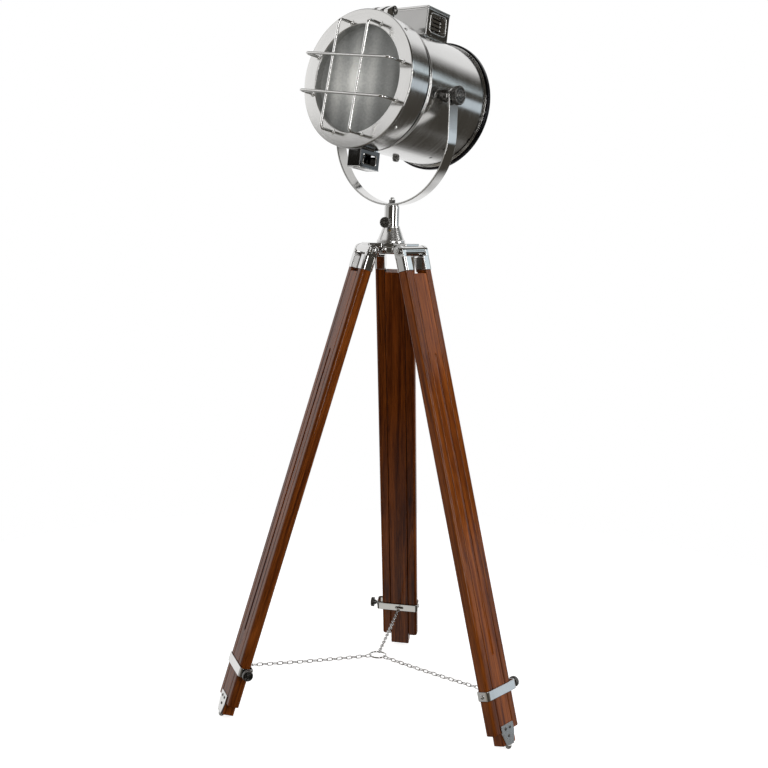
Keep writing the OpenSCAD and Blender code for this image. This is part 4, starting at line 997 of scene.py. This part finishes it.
class LAMP_OT_door(bpy.types.Operator):
    """Makes the bezel, the glass, the hinge, the wire guard and the catch box."""
    bl_idname = "lamp.door"
    bl_label = "Door"

    def execute(self, context):
        size = context.scene.lamp_body
        place, upright = drum_place(), upright_place()
        front, edge, inner = size.bezel_front, size.bezel_r, size.opening_r
        skirt_in, lip_r, seat = size.skirt_r - 2.8 * MM, inner + 2.5 * MM, 121 * MM
        outline = rounded([
            (inner, seat), (inner, front), (edge, front), (edge, front - 5 * MM), (size.skirt_r, front - 6 * MM),
            (size.skirt_r, size.skirt_back), (skirt_in, size.skirt_back), (skirt_in, front - 3 * MM),
            (lip_r, front - 3 * MM), (lip_r, seat)],
            np.array([0.4, 2.2, 2.4, 1.0, 0.8, 1.2, 0.6, 1, 1, 0.4]) * MM, 5)
        make(Form(place).lathe(outline, turns=192), "bezel_turned", SATIN, "door", "bezel")
        glass = Form(place)
        disc, _ = turned(box_outline(0, 122 * MM, 116.8 * MM, 120.8 * MM, 0.8 * MM), 128)
        glass.add(disc, disc, wrap_rows=True)
        make(glass, "lens_frosted", FROSTED, "door", "lens")
        screws = Form(place)
        for turn in np.radians([45, 135, 225, 315]):
            way = np.array((np.sin(turn), np.cos(turn), 0))
            screw_head(screws, place.at(way * (size.skirt_r + 0.1 * MM) + (0, 0, 118 * MM), z=way), 4 * MM, 2 * MM)
        make(screws, "bezel_screw_heads", NICKEL, "door", "bezel_screws")
        self.hinge(place, upright)
        self.guard(size, place)
        self.catch_box(size, place, upright)
        return {"FINISHED"}

    def hinge(self, place, upright):
        """The hinge's knuckles about the pin, a leaf on the bezel's skirt and a base on the drum."""
        size = bpy.context.scene.lamp_body
        y, z, r, pin = -70 * MM, 157 * MM, 10 * MM, 4.05 * MM
        along = upright.at((0, y, z), z=(1, 0, 0), x=(0, 1, 0))
        room = Form(place)
        room.lathe(box_outline(0, size.skirt_r + 0.1 * MM, 60 * MM, 140 * MM, 0.2 * MM), turns=192)
        for name, spans, body, node in (
                ("hinge_leaf_bent", ((-29, -19.3), (-9.3, 9.3), (19.3, 29)), "door", "hinge_leaf"),
                ("hinge_base_bent_painted_dark", ((-19, -9.6), (9.6, 19)), "spotlight", "hinge_base")):
            form = Form(along)
            if body == "door":
                straps = Form(along)
                for low, high in spans:
                    strap = rounded([(-4.7 * MM, 8.6 * MM), (-26 * MM, -4 * MM), (-26 * MM, -19 * MM),
                                     (-8.5 * MM, -19 * MM), (-4.7 * MM, -5 * MM)], 1 * MM, 2)[::-1]
                    straps.block(strap, low * MM, high * MM, 0.5 * MM)
                straps.block(oblong(18 * MM, 7 * MM, 1 * MM, 2, (-17 * MM, -15.2 * MM)), -29 * MM, 29 * MM, 1 * MM)
                cut(make(straps, "hinge_leaf_straps", NICKEL, body), room)
            else:
                for low, high in spans:
                    block = oblong(12 * MM, 21 * MM, 0.8 * MM, 2, (6 * MM, -10.5 * MM))
                    form.block(block, low * MM, high * MM, 0.5 * MM)
                saddle(form, place, size.drum_r + FIT, size.drum_r + 3 * MM, 24 * MM, 30 * MM, 63.4 * MM, 0.8 * MM)
            for low, high in spans:
                form.lathe(box_outline(pin, r, low * MM, high * MM, 0.9 * MM), along, turns=48)
            # The base is nickel like the leaf but takes the dark finish: a painted dark reflection.
            make(form, name, NICKEL if body == "door" else SMOKED, body, node)
        pin_form = Form(along)
        pin_form.lathe(box_outline(0, 4 * MM, -31 * MM, 31 * MM, 0.3 * MM), turns=32)
        for way in (1, -1):
            cap = along.at((0, 0, way * 29.1 * MM), z=(0, 0, way))
            pin_form.lathe(dome(6.5 * MM, 3.8 * MM), cap, turns=40)
        make(pin_form, "hinge_pin_domed", SMOKED, "spotlight", "hinge_pin")

    def guard(self, size, place):
        """Four wire bars: each is straight before the glass and bends back at both ends into a foot on the bezel."""
        t = size.guard_turn
        front = place.at((0, 0, size.bezel_front), z=(0, 0, 1), x=(np.cos(t), -np.sin(t), 0))
        bars = Form(front)
        for k, out in ((0, size.guard_out), (1, size.guard_out + size.guard_step)):
            for offset in (-size.guard_x, size.guard_x):
                reach = size.guard_reach
                corners = [(-reach, 0), (-reach, out), (reach, out), (reach, 0)]
                line = rounded(corners, 9 * MM, 9, closed=False)
                flat = np.stack([np.full(len(line), offset), line[:, 0], line[:, 1]], 1)
                side = np.array((1.0, 0, 0))
                if k:
                    flat, side = flat[:, [1, 0, 2]], np.array((0, 1.0, 0))
                bars.wire(flat, size.guard_wire / 2, side, steps=16)
                for end in (flat[0], flat[-1]):
                    foot = front.at(end * (1, 1, 0))
                    bars.lathe(rounded([(0, FIT), (6 * MM, FIT), (6 * MM, 1.5 * MM), (3.7 * MM, 2.0 * MM),
                                        (3.2 * MM, 4 * MM), (0, 4 * MM)], 0.6 * MM, 3), foot, turns=32)
        make(bars, "wire_guard_bent", BRIGHT, "door", "wire_guard")

    def catch_box(self, size, place, upright):
        """The box under the bezel that holds the spring catch, with its flange and window beads."""
        half, front, back, low = 17 * MM, -121 * MM, -54 * MM, -181 * MM
        room = 181 * MM - size.skirt_r
        z0, z1 = low + 0.23 * room, -size.skirt_r - 0.22 * room
        window = (front + 10 * MM, back - 12 * MM, z0, z1, 0.155 * room)
        # The case takes the much darker copy of the nickel: painted shade.
        case = box_shell("catch_box_case", SHADE_PAINTED, upright, half, front, back, -(size.skirt_r - 5 * MM), low,
                         2 * MM, window, "door", "bottom_box")
        skirt = Form(place)
        skirt.lathe(box_outline(0, size.skirt_r + 0.05 * MM, 40 * MM, 139 * MM, 0.2 * MM), turns=192)
        cut(case, skirt)
        notch = Form(upright)
        notch.block(oblong(14 * MM, 14 * MM, 1 * MM, 2, (0, back)), -size.skirt_r - 8 * MM, -100 * MM, 0.2 * MM)
        cut(case, notch)
        trim = Form(upright)
        saddle(trim, place, size.skirt_r + FIT, size.skirt_r + 1.8 * MM, half + 5 * MM, 77.9 * MM,
               -front + 4 * MM, 0.5 * MM, under=True)
        trim.block(oblong(2 * half + 1.8 * MM, back - front + 1.8 * MM, 2.6 * MM, 4, (0, (front + back) / 2)),
                   low, low + 2.6 * MM, 0.9 * MM)
        window_beads(trim, half, window, 0.9 * MM, 6, 8)
        make(trim, "catch_box_trim", NICKEL, "door")


# ---------------------------------------------------------------- pieces: legs

class LAMP_OT_legs(bpy.types.Operator):
    """Makes the slats with the flute, the ferrules with their ears, and the hinge bolts."""
    bl_idname = "lamp.legs"
    bl_label = "Legs"

    def execute(self, context):
        size = context.scene.lamp_stand
        for number, leg in enumerate(LEGS):
            place = leg_place(leg)
            self.outer(size, place, leg, number)
            self.inner(size, place, leg, number)
            self.ferrules(size, place, leg)
            self.bolt(size, place, leg)
        return {"FINISHED"}

    @staticmethod
    def section(size, grow, steps=6):
        """An outer slat's section on the +y side, larger all round by grow."""
        half, low = size.slat_d / 2 + grow, size.inner_w / 2 + size.slat_gap - grow
        high = leg_half(size) + grow
        soft, hard = 7 * MM + grow, 1.9 * MM
        return rounded([(-half, low), (half, low), (half, high), (-half, high)], [hard, hard, soft, soft], steps)

    def outer(self, size, place, leg, number):
        """Two D-shaped slats, each cut from its own length of wood."""
        form = Form(place)
        for way in (1, -1):
            points = prism(self.section(size, 0) * (1, way), -size.outer_end, -16.1 * MM, 1.2 * MM)
            form.add(points, points + 0.31 * (number + 1) + 0.13 * way, ends=True)
        make(form, f"{leg}_outer_slats_round", OUTER, f"{leg}_leg", f"{leg}_outer_slats")

    def inner(self, size, place, leg, number):
        """The middle slat. Its outline runs round the corners and along the flute's columns c from -1 to 1. At a
        station of the flute whose circle has radius r, centred 1 mm proud of the face, the flute is
        w = sqrt(r r - 1 mm squared) to each side and sqrt(r r - (c w) squared) - 1 mm deep."""
        half_d, half_w, proud = size.slat_d / 2, size.inner_w / 2, 1 * MM
        outline = rounded([(-half_d, half_w), (-half_d, -half_w), (half_d, -half_w), (half_d, half_w)], 2 * MM, 4)
        # Columns: the rounded outline starts at the (-,+) corner; the flute goes in before the last corner.
        corner = len(outline) * 3 // 4
        c = np.cos(np.linspace(np.pi, 0, 15))
        swing = np.linspace(np.pi / 2 - np.arcsin(proud / size.flute_r) - 1e-4, 0, 9)
        ends = np.concatenate([-size.flute_end - size.flute_r * np.sin(swing),
                               (-size.flute_top + size.flute_r * np.sin(swing))[::-1]])
        r = np.concatenate([size.flute_r * np.cos(swing), (size.flute_r * np.cos(swing))[::-1]])
        low, high, edge = -size.inner_end, -52 * MM, 1.2 * MM
        a = np.linspace(0, np.pi / 2, 4)
        inset = np.concatenate([edge * (1 - np.sin(a)), 0 * ends, edge * (1 - np.sin(a[::-1]))])
        z = np.concatenate([low + edge * (1 - np.cos(a)), ends, high - edge * (1 - np.cos(a[::-1]))])
        r = np.concatenate([np.full(4, proud), r, np.full(4, proud)])
        w = np.sqrt(np.maximum(r ** 2 - proud ** 2, 0))
        t = w[:, None] * c
        n = half_d - inset[:, None] - np.maximum(np.sqrt(np.maximum(r[:, None] ** 2 - t ** 2, 0)) - proud, 0)
        rim = outline[None] * (1 - inset[:, None, None] / np.array([half_d, half_w]))
        ring = np.concatenate([rim[:, :corner], np.stack([n, t], -1), rim[:, corner:]], 1)
        points = np.concatenate([ring, np.broadcast_to(z[:, None, None], (*ring.shape[:2], 1))], -1)
        form = Form(place).add(points, points + 0.47 * (number + 1), ends=True)
        make(form, f"{leg}_middle_slat_fluted", MIDDLE, f"{leg}_extension", f"{leg}_inner_slat")

    def ferrules(self, size, place, leg):
        """Two drawn sleeves over the outer slats, each with a rounded ear for the bolt."""
        out = leg_half(size)
        form = Form(place)
        half = np.arange(0, 17) * np.pi / 16
        ear = np.concatenate([12.5 * MM * np.stack([np.cos(half), np.sin(half)], 1),
                              [(-12.5 * MM, -15 * MM), (12.5 * MM, -15 * MM)]])
        for way in (1, -1):
            form.block(self.section(size, 1.6 * MM, 8) * (1, way), -45 * MM, -13 * MM, 1.3 * MM)
            # The ear lies across y: x stays, its height is z.
            across = Place(place.origin, place.axes[0], place.axes[2], -way * place.axes[1])
            form.block(ear, -out, -34.6 * MM, 1.2 * MM, place=across)
        make(form, f"{leg}_ferrules_drawn", NICKEL, f"{leg}_leg", f"{leg}_ferrules")

    def bolt(self, size, place, leg):
        """A domed bolt with a socket on one side, a nut on the other, and a washer under each."""
        out = leg_half(size)
        form = Form(place)
        head = place.at((0, out, 0), z=(0, 1, 0))
        nut = place.at((0, -out, 0), z=(0, -1, 0))
        form.lathe(box_outline(0, 4 * MM, -2 * out - 9 * MM, 2 * MM, 0.6 * MM), head, turns=32)
        for side in (head, nut):
            form.lathe(box_outline(BORE, 9 * MM, 0.1 * MM, 1.6 * MM, 0.5 * MM), side, turns=48)
        a = np.linspace(0, 1.15, 8)
        cap = np.stack([8.4 * MM * np.cos(a), 1.7 * MM + 5.6 * MM * np.sin(a)], 1)
        cap = np.concatenate([[(0, 1.7 * MM)], cap, [(2.9 * MM, 6.9 * MM), (2.5 * MM, 3.6 * MM), (0, 3.4 * MM)]])
        form.lathe(cap, head, turns=48)
        hexagon(form, nut, 13.8 * MM, 1.7 * MM, 7.5 * MM)
        make(form, f"{leg}_hinge_bolt_domed", NICKEL, f"{leg}_leg", f"{leg}_hinge_bolt")


class LAMP_OT_feet(bpy.types.Operator):
    """Makes the shoe plates with their ball feet and screws."""
    bl_idname = "lamp.feet"
    bl_label = "Feet"

    def execute(self, context):
        size = context.scene.lamp_stand
        for leg in LEGS:
            place = leg_place(leg)
            face, sole = size.slat_d / 2 + FIT, -size.inner_end - 2.1 * MM
            wide = size.inner_w / 2 - 1 * MM
            form = Form(place)
            out = Place(place((face, 0, sole)), place.axes[1], place.axes[2], place.axes[0])
            form.block(rounded([(-13 * MM, 0), (13 * MM, 0), (wide, 26 * MM), (wide, 45 * MM), (-wide, 45 * MM),
                                (-wide, 26 * MM)], 1.6 * MM, 3), 0, 2 * MM, 0.5 * MM, place=out)
            foot = oblong(face + 6 * MM, 26 * MM, 0.8 * MM, 2, ((face + 2 * MM - 4 * MM) / 2, 0))
            form.block(foot, sole, sole + 2 * MM, 0.5 * MM)
            mount = next(m for m in frame["record"]["mounts"] if m["name"] == f"{leg}_foot_rest")
            ball = Place(np.array(mount["pos_m"]), (1, 0, 0), (0, 1, 0), (0, 0, 1))
            r, sit = 7 * MM, 6.3 * MM
            a = np.linspace(-np.arcsin(sit / r), np.pi / 2, 15)
            form.lathe(np.concatenate([[(0, 0)], np.stack([r * np.cos(a), sit + r * np.sin(a)], 1)]), ball, turns=48)
            make(form, f"{leg}_foot_shoe_bent", BRUSHED, f"{leg}_extension", f"{leg}_foot_shoe")
            screws = Form(place)
            for t, up in ((-8, 34), (8, 34), (0, 18)):
                spot = place.at((face + 2.05 * MM, t * MM, -size.inner_end + up * MM), z=(1, 0, 0), x=(0, 1, 0))
                screw_head(screws, spot, 3.4 * MM, 1.3 * MM)
            make(screws, f"{leg}_shoe_screw_heads", SMOKED, f"{leg}_extension", f"{leg}_shoe_screws")
        return {"FINISHED"}


class LAMP_OT_clamps(bpy.types.Operator):
    """Makes the clamp bands with the eye for the chain, and their thumb screws."""
    bl_idname = "lamp.clamps"
    bl_label = "Leg clamps"

    def execute(self, context):
        size = context.scene.lamp_stand
        thick, tall = 2.5 * MM, 20 * MM
        half_n = size.slat_d / 2 + size.slat_gap
        out = leg_half(size)
        low, high = -(out + 0.1 * MM), out + 12 * MM
        for leg in LEGS:
            place = leg_place(leg).at((0, 0, -size.clamp_at))
            centre = np.array((0, (low + high) / 2))
            line = oblong(2 * half_n + thick, high - low + thick, 7 * MM - thick / 2, 8, centre)
            path = np.concatenate([line, np.zeros((len(line), 1))], 1)
            band = Form(place)
            band.add(swept(oblong(tall, thick, 0.8 * MM, 3), path, (0, 0, 1), closed=True), wrap_rows=True)
            piece = make(band, f"{leg}_clamp_band_bent", NICKEL, f"{leg}_leg", f"{leg}_clamp_band")
            slot = Form(place)
            slot.block(oblong(12 * MM, 20 * MM, 0.4 * MM, 2, (-half_n - thick, 0)), -3.5 * MM, 3.5 * MM, 0.3 * MM)
            cut(piece, slot)
            trim = Form(place)
            span = 10.6 * MM
            bend = (span ** 2 + EYE_BULGE ** 2) / (2 * EYE_BULGE)
            a = np.linspace(-np.arcsin(span / bend), np.arcsin(span / bend), 21)
            deep = half_n + thick / 2 + EYE_BULGE - bend
            bow = np.stack([-(deep + bend * np.cos(a)), bend * np.sin(a), 0 * a], 1)
            trim.add(swept(oblong(3 * MM, thick, 0.7 * MM, 3), bow, (0, 0, 1)), ends=True)
            trim.lathe(dome(5.2 * MM, 2.4 * MM), place.at((0, low - thick, 0), z=(0, -1, 0)), turns=40)
            make(trim, f"{leg}_clamp_eye_and_rivet", NICKEL, f"{leg}_leg")
            turn = JOINTS[f"{leg}_clamp_turn"]
            screw_place = Place(turn["pos_m"], place.axes[2], place.axes[0], place.axes[1])
            screw = Form(screw_place)
            thumb_screw(screw, screw_place, 22.5 * MM, size.thumb_r, 9 * MM, 30, 3 * MM)
            make(screw, f"{leg}_clamp_screw_knurled", SMOKED, f"{leg}_clamp", f"{leg}_clamp_screw")
        return {"FINISHED"}


class LAMP_OT_chain(bpy.types.Operator):
    """Makes the three strands of welded oval links and the ring that joins them."""
    bl_idname = "lamp.chain"
    bl_label = "Spreader chain"

    def execute(self, context):
        size = context.scene.lamp_stand
        low, high = (np.array(c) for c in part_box("chain_ring"))
        ring = Place((low + high) / 2, (1, 0, 0), (0, 1, 0), (0, 0, 1))
        wire, play, sag = size.link_wire, 0.25 * MM, 2 * MM
        a = np.arange(96) * TURN / 96
        loop = np.stack([size.ring_r * np.cos(a), size.ring_r * np.sin(a), 0 * a], 1)
        make(Form(ring).wire(loop, 1.8 * MM, (0, 0, 1), closed=True, steps=14), "chain_ring_welded", NICKEL, "stand",
             "chain_ring")
        for leg in LEGS:
            axes = leg_place(leg).axes
            out = unit(axes[0] * (1, 1, 0))
            hook_n = -(size.slat_d / 2 + size.slat_gap + EYE_BULGE - 0.8 * MM)
            hook = leg_place(leg)((hook_n, 0, -size.clamp_at))
            end = ring.origin + out * (size.ring_r - 1.5 * MM - play)
            span, drop = np.linalg.norm((hook - end)[:2]), hook[2] - end[2]
            whole = np.hypot(span, drop)
            pitch = (whole - play) / size.links
            inner_l, inner_w = pitch + play, 5 * MM
            strand = Place(hook, -out, np.cross((0, 0, 1), -out), (0, 0, 1))
            half, mid = (inner_l - inner_w) / 2, (inner_w + wire) / 2
            b = np.linspace(-np.pi / 2, np.pi / 2, 9)
            right = np.stack([half + mid * np.cos(b), mid * np.sin(b)], 1)
            flat = np.concatenate([right, -right])
            link = np.concatenate([flat, np.zeros((len(flat), 1))], 1)
            form = Form(strand)
            for k in range(size.links):
                u = (inner_l / 2 + k * pitch) / whole
                slope = -drop - 4 * sag * (1 - 2 * u)
                along = unit((span, 0, slope))
                up = np.cross(along, (0, 1, 0))
                centre = (u * span, 0, -drop * u - 4 * sag * u * (1 - u))
                turned_way = up if k % 2 else np.array((0.0, 1, 0))
                spot = strand.at(centre, z=turned_way, x=along)
                form.wire(link, wire / 2, (0, 0, 1), place=spot, closed=True, steps=10)
            piece = make(form, f"{leg}_chain_links", NICKEL, None, f"{leg}_chain")
            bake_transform(piece)
        return {"FINISHED"}


# ---------------------------------------------------------------- stage

class LAMP_OT_stage(bpy.types.Operator):
    """Makes the camera, the lights, the surroundings and the floor."""
    bl_idname = "lamp.stage"
    bl_label = "Stage"

    def execute(self, context):
        shot = context.scene.lamp_shot
        data = bpy.data.cameras.new("camera")
        data.lens = shot.lens
        data.sensor_width = 36
        data.shift_x, data.shift_y = shot.shift
        camera = bpy.data.objects.new("camera", data)
        camera.location = AXIS + np.array(shot.camera_from_axis)
        camera.rotation_euler = shot.camera_turn
        context.scene.collection.objects.link(camera)
        context.scene.camera = camera

        a = np.arange(96) * TURN / 96
        floor = bpy.data.meshes.new("floor")
        rim = AXIS + shot.floor_r * np.stack([np.cos(a), np.sin(a), 0 * a], 1)
        floor.from_pydata(rim, [], [list(range(len(a)))])
        ground = bpy.data.objects.new("floor", floor)
        context.scene.collection.objects.link(ground)
        floor.materials.append(plain("floor", (0.90, 0.90, 0.90), (0.88, 0.88, 0.88), 0.8, scale=3.0,
                                     glow=shot.floor_glow))
        ground.visible_diffuse = ground.visible_glossy = False  # its glow is for the camera alone

        self.surroundings(context)
        # Azimuth and height angle as seen from the spotlight, distance, size and radiance.
        for name, turn, rise, away, size, glow in (
                ("left softbox", -128, 27, 2.2, (2.2, 1.3), 0.85), ("right softbox", -32, 0, 2.4, (0.6, 2.0), 4.5),
                ("key strip", 22, 3, 2.4, (0.6, 1.8), 5.0), ("top softbox", 90, 84, 2.2, (2.0, 2.0), 0.7)):
            light = bpy.data.lights.new(name, "AREA")
            light.shape = "RECTANGLE"
            light.size, light.size_y = size
            light.energy = glow * np.pi * size[0] * size[1]
            lamp = bpy.data.objects.new(name, light)
            turn, rise = np.radians((turn, rise))
            way = np.array((np.cos(rise) * np.cos(turn), np.cos(rise) * np.sin(turn), np.sin(rise)))
            lamp.location = PIVOT + away * way
            lamp.rotation_euler = Vector(-way).to_track_quat("-Z", "Y").to_euler()
            context.scene.collection.objects.link(lamp)
        context.scene.view_settings.view_transform = "Standard"
        return {"FINISHED"}

    def surroundings(self, context):
        """White for the camera. The metal mirrors a dark studio with a pale backdrop behind and a window beside it."""
        world = bpy.data.worlds.new("studio")
        world.use_nodes = True
        context.scene.world = world
        world.node_tree.nodes.clear()
        graph = Graph(world.node_tree)
        way = graph.node("ShaderNodeTexCoord").outputs["Generated"]
        room = (0.055, 0.050, 0.042, 1)
        # Middle azimuth and half width, lowest and highest sine of the height angle, softness, and colour.
        for turn, half, low, high, soft, tint in (
                (132, 56, -0.60, 0.72, 7, (0.93, 0.93, 0.93, 1)), (204, 20, -0.08, 0.3, 4, (0.8, 0.8, 0.8, 1)),
                (52, 8, 0.21, 0.36, 2, (0.82, 0.94, 1.0, 1)), (54, 8, -0.11, 0.07, 2, (0.62, 0.70, 0.76, 1)),
                (-70, 26, -0.92, -0.72, 6, (0.62, 0.61, 0.58, 1)), (-130, 26, -0.55, 0.08, 6, (0.45, 0.45, 0.44, 1)),
                (-100, 24, -0.42, -0.10, 8, (0.30, 0.27, 0.22, 1)), (20, 12, -0.5, 0.1, 6, (0.22, 0.20, 0.16, 1))):
            turned_way = graph.node("ShaderNodeVectorRotate", {"Vector": way, "Angle": -np.radians(turn)},
                                    rotation_type="Z_AXIS").outputs["Vector"]
            split = graph.node("ShaderNodeSeparateXYZ", {"Vector": turned_way}).outputs
            aside = graph.math("ABSOLUTE", graph.math("ARCTAN2", split["Y"], split["X"]))
            inside = graph.ranged(aside, np.radians(half - soft), np.radians(half + soft), 1.0, 0.0)
            edge = np.radians(soft) / 2
            above = graph.ranged(split["Z"], low - edge, low + edge, 0.0, 1.0)
            below = graph.ranged(split["Z"], high - edge, high + edge, 1.0, 0.0)
            share = graph.math("MULTIPLY", inside, graph.math("MULTIPLY", above, below))
            room = graph.mixed(share, room, tint)
        studio = graph.node("ShaderNodeBackground", {"Color": room}).outputs[0]
        white = graph.node("ShaderNodeBackground", {"Color": (1, 1, 1, 1)}).outputs[0]
        camera_ray = graph.node("ShaderNodeLightPath").outputs["Is Camera Ray"]
        shown = graph.node("ShaderNodeMixShader", {0: camera_ray, 1: studio, 2: white}).outputs[0]
        graph.node("ShaderNodeOutputWorld", {"Surface": shown})


class LAMP_OT_finish_parts(bpy.types.Operator):
    """Gives each remaining node of the frame its finish."""
    bl_idname = "lamp.finish_parts"
    bl_label = "Finish the other parts"

    def execute(self, context):
        by_slot = {"nickel": NICKEL, "satin_nickel": SATIN, "dark_nickel": SMOKED, "varnished_wood": MIDDLE,
                   "frosted_glass": FROSTED, "bulb_glass": "opal bulb", "brass": "turned brass",
                   "porcelain": "glazed porcelain", "aluminium": "bright aluminium"}
        for part in frame["record"]["subparts"]:
            mesh = NODES[part["node"]].data
            mesh.materials.clear()
            mesh.materials.append(finishes()[by_slot[part["material_slot"]]])
        return {"FINISHED"}


OPERATORS = (LAMP_OT_stage, LAMP_OT_finish_parts, LAMP_OT_hub, LAMP_OT_yoke, LAMP_OT_drum, LAMP_OT_boxes, LAMP_OT_door,
             LAMP_OT_legs, LAMP_OT_feet, LAMP_OT_clamps, LAMP_OT_chain)


class LAMP_PT_panel(bpy.types.Panel):
    """Lists the lamp's operators and sizes."""
    bl_idname = "LAMP_PT_panel"
    bl_label = "Tripod spotlight"
    bl_space_type = "VIEW_3D"
    bl_region_type = "UI"
    bl_category = "Lamp"

    def draw(self, context):
        for operator in OPERATORS:
            self.layout.operator(operator.bl_idname)
        for group in GROUPS:
            held = getattr(context.scene, group)
            column = self.layout.column(align=True)
            for key in held.bl_rna.properties.keys():
                if key not in ("rna_type", "name"):
                    column.prop(held, key)


CLASSES = (*GROUPS.values(), *OPERATORS, LAMP_PT_panel)


def register():
    for item in CLASSES:
        bpy.utils.register_class(item)
    for name, group in GROUPS.items():
        setattr(bpy.types.Scene, name, PointerProperty(type=group))


def unregister():
    for name in GROUPS:
        delattr(bpy.types.Scene, name)
    for item in reversed(CLASSES):
        bpy.utils.unregister_class(item)


def main():
    """Builds everything in order."""
    register()
    for operator in OPERATORS:
        group, name = operator.bl_idname.split(".")
        getattr(getattr(bpy.ops, group), name)()


if __name__ == "__main__":
    main()
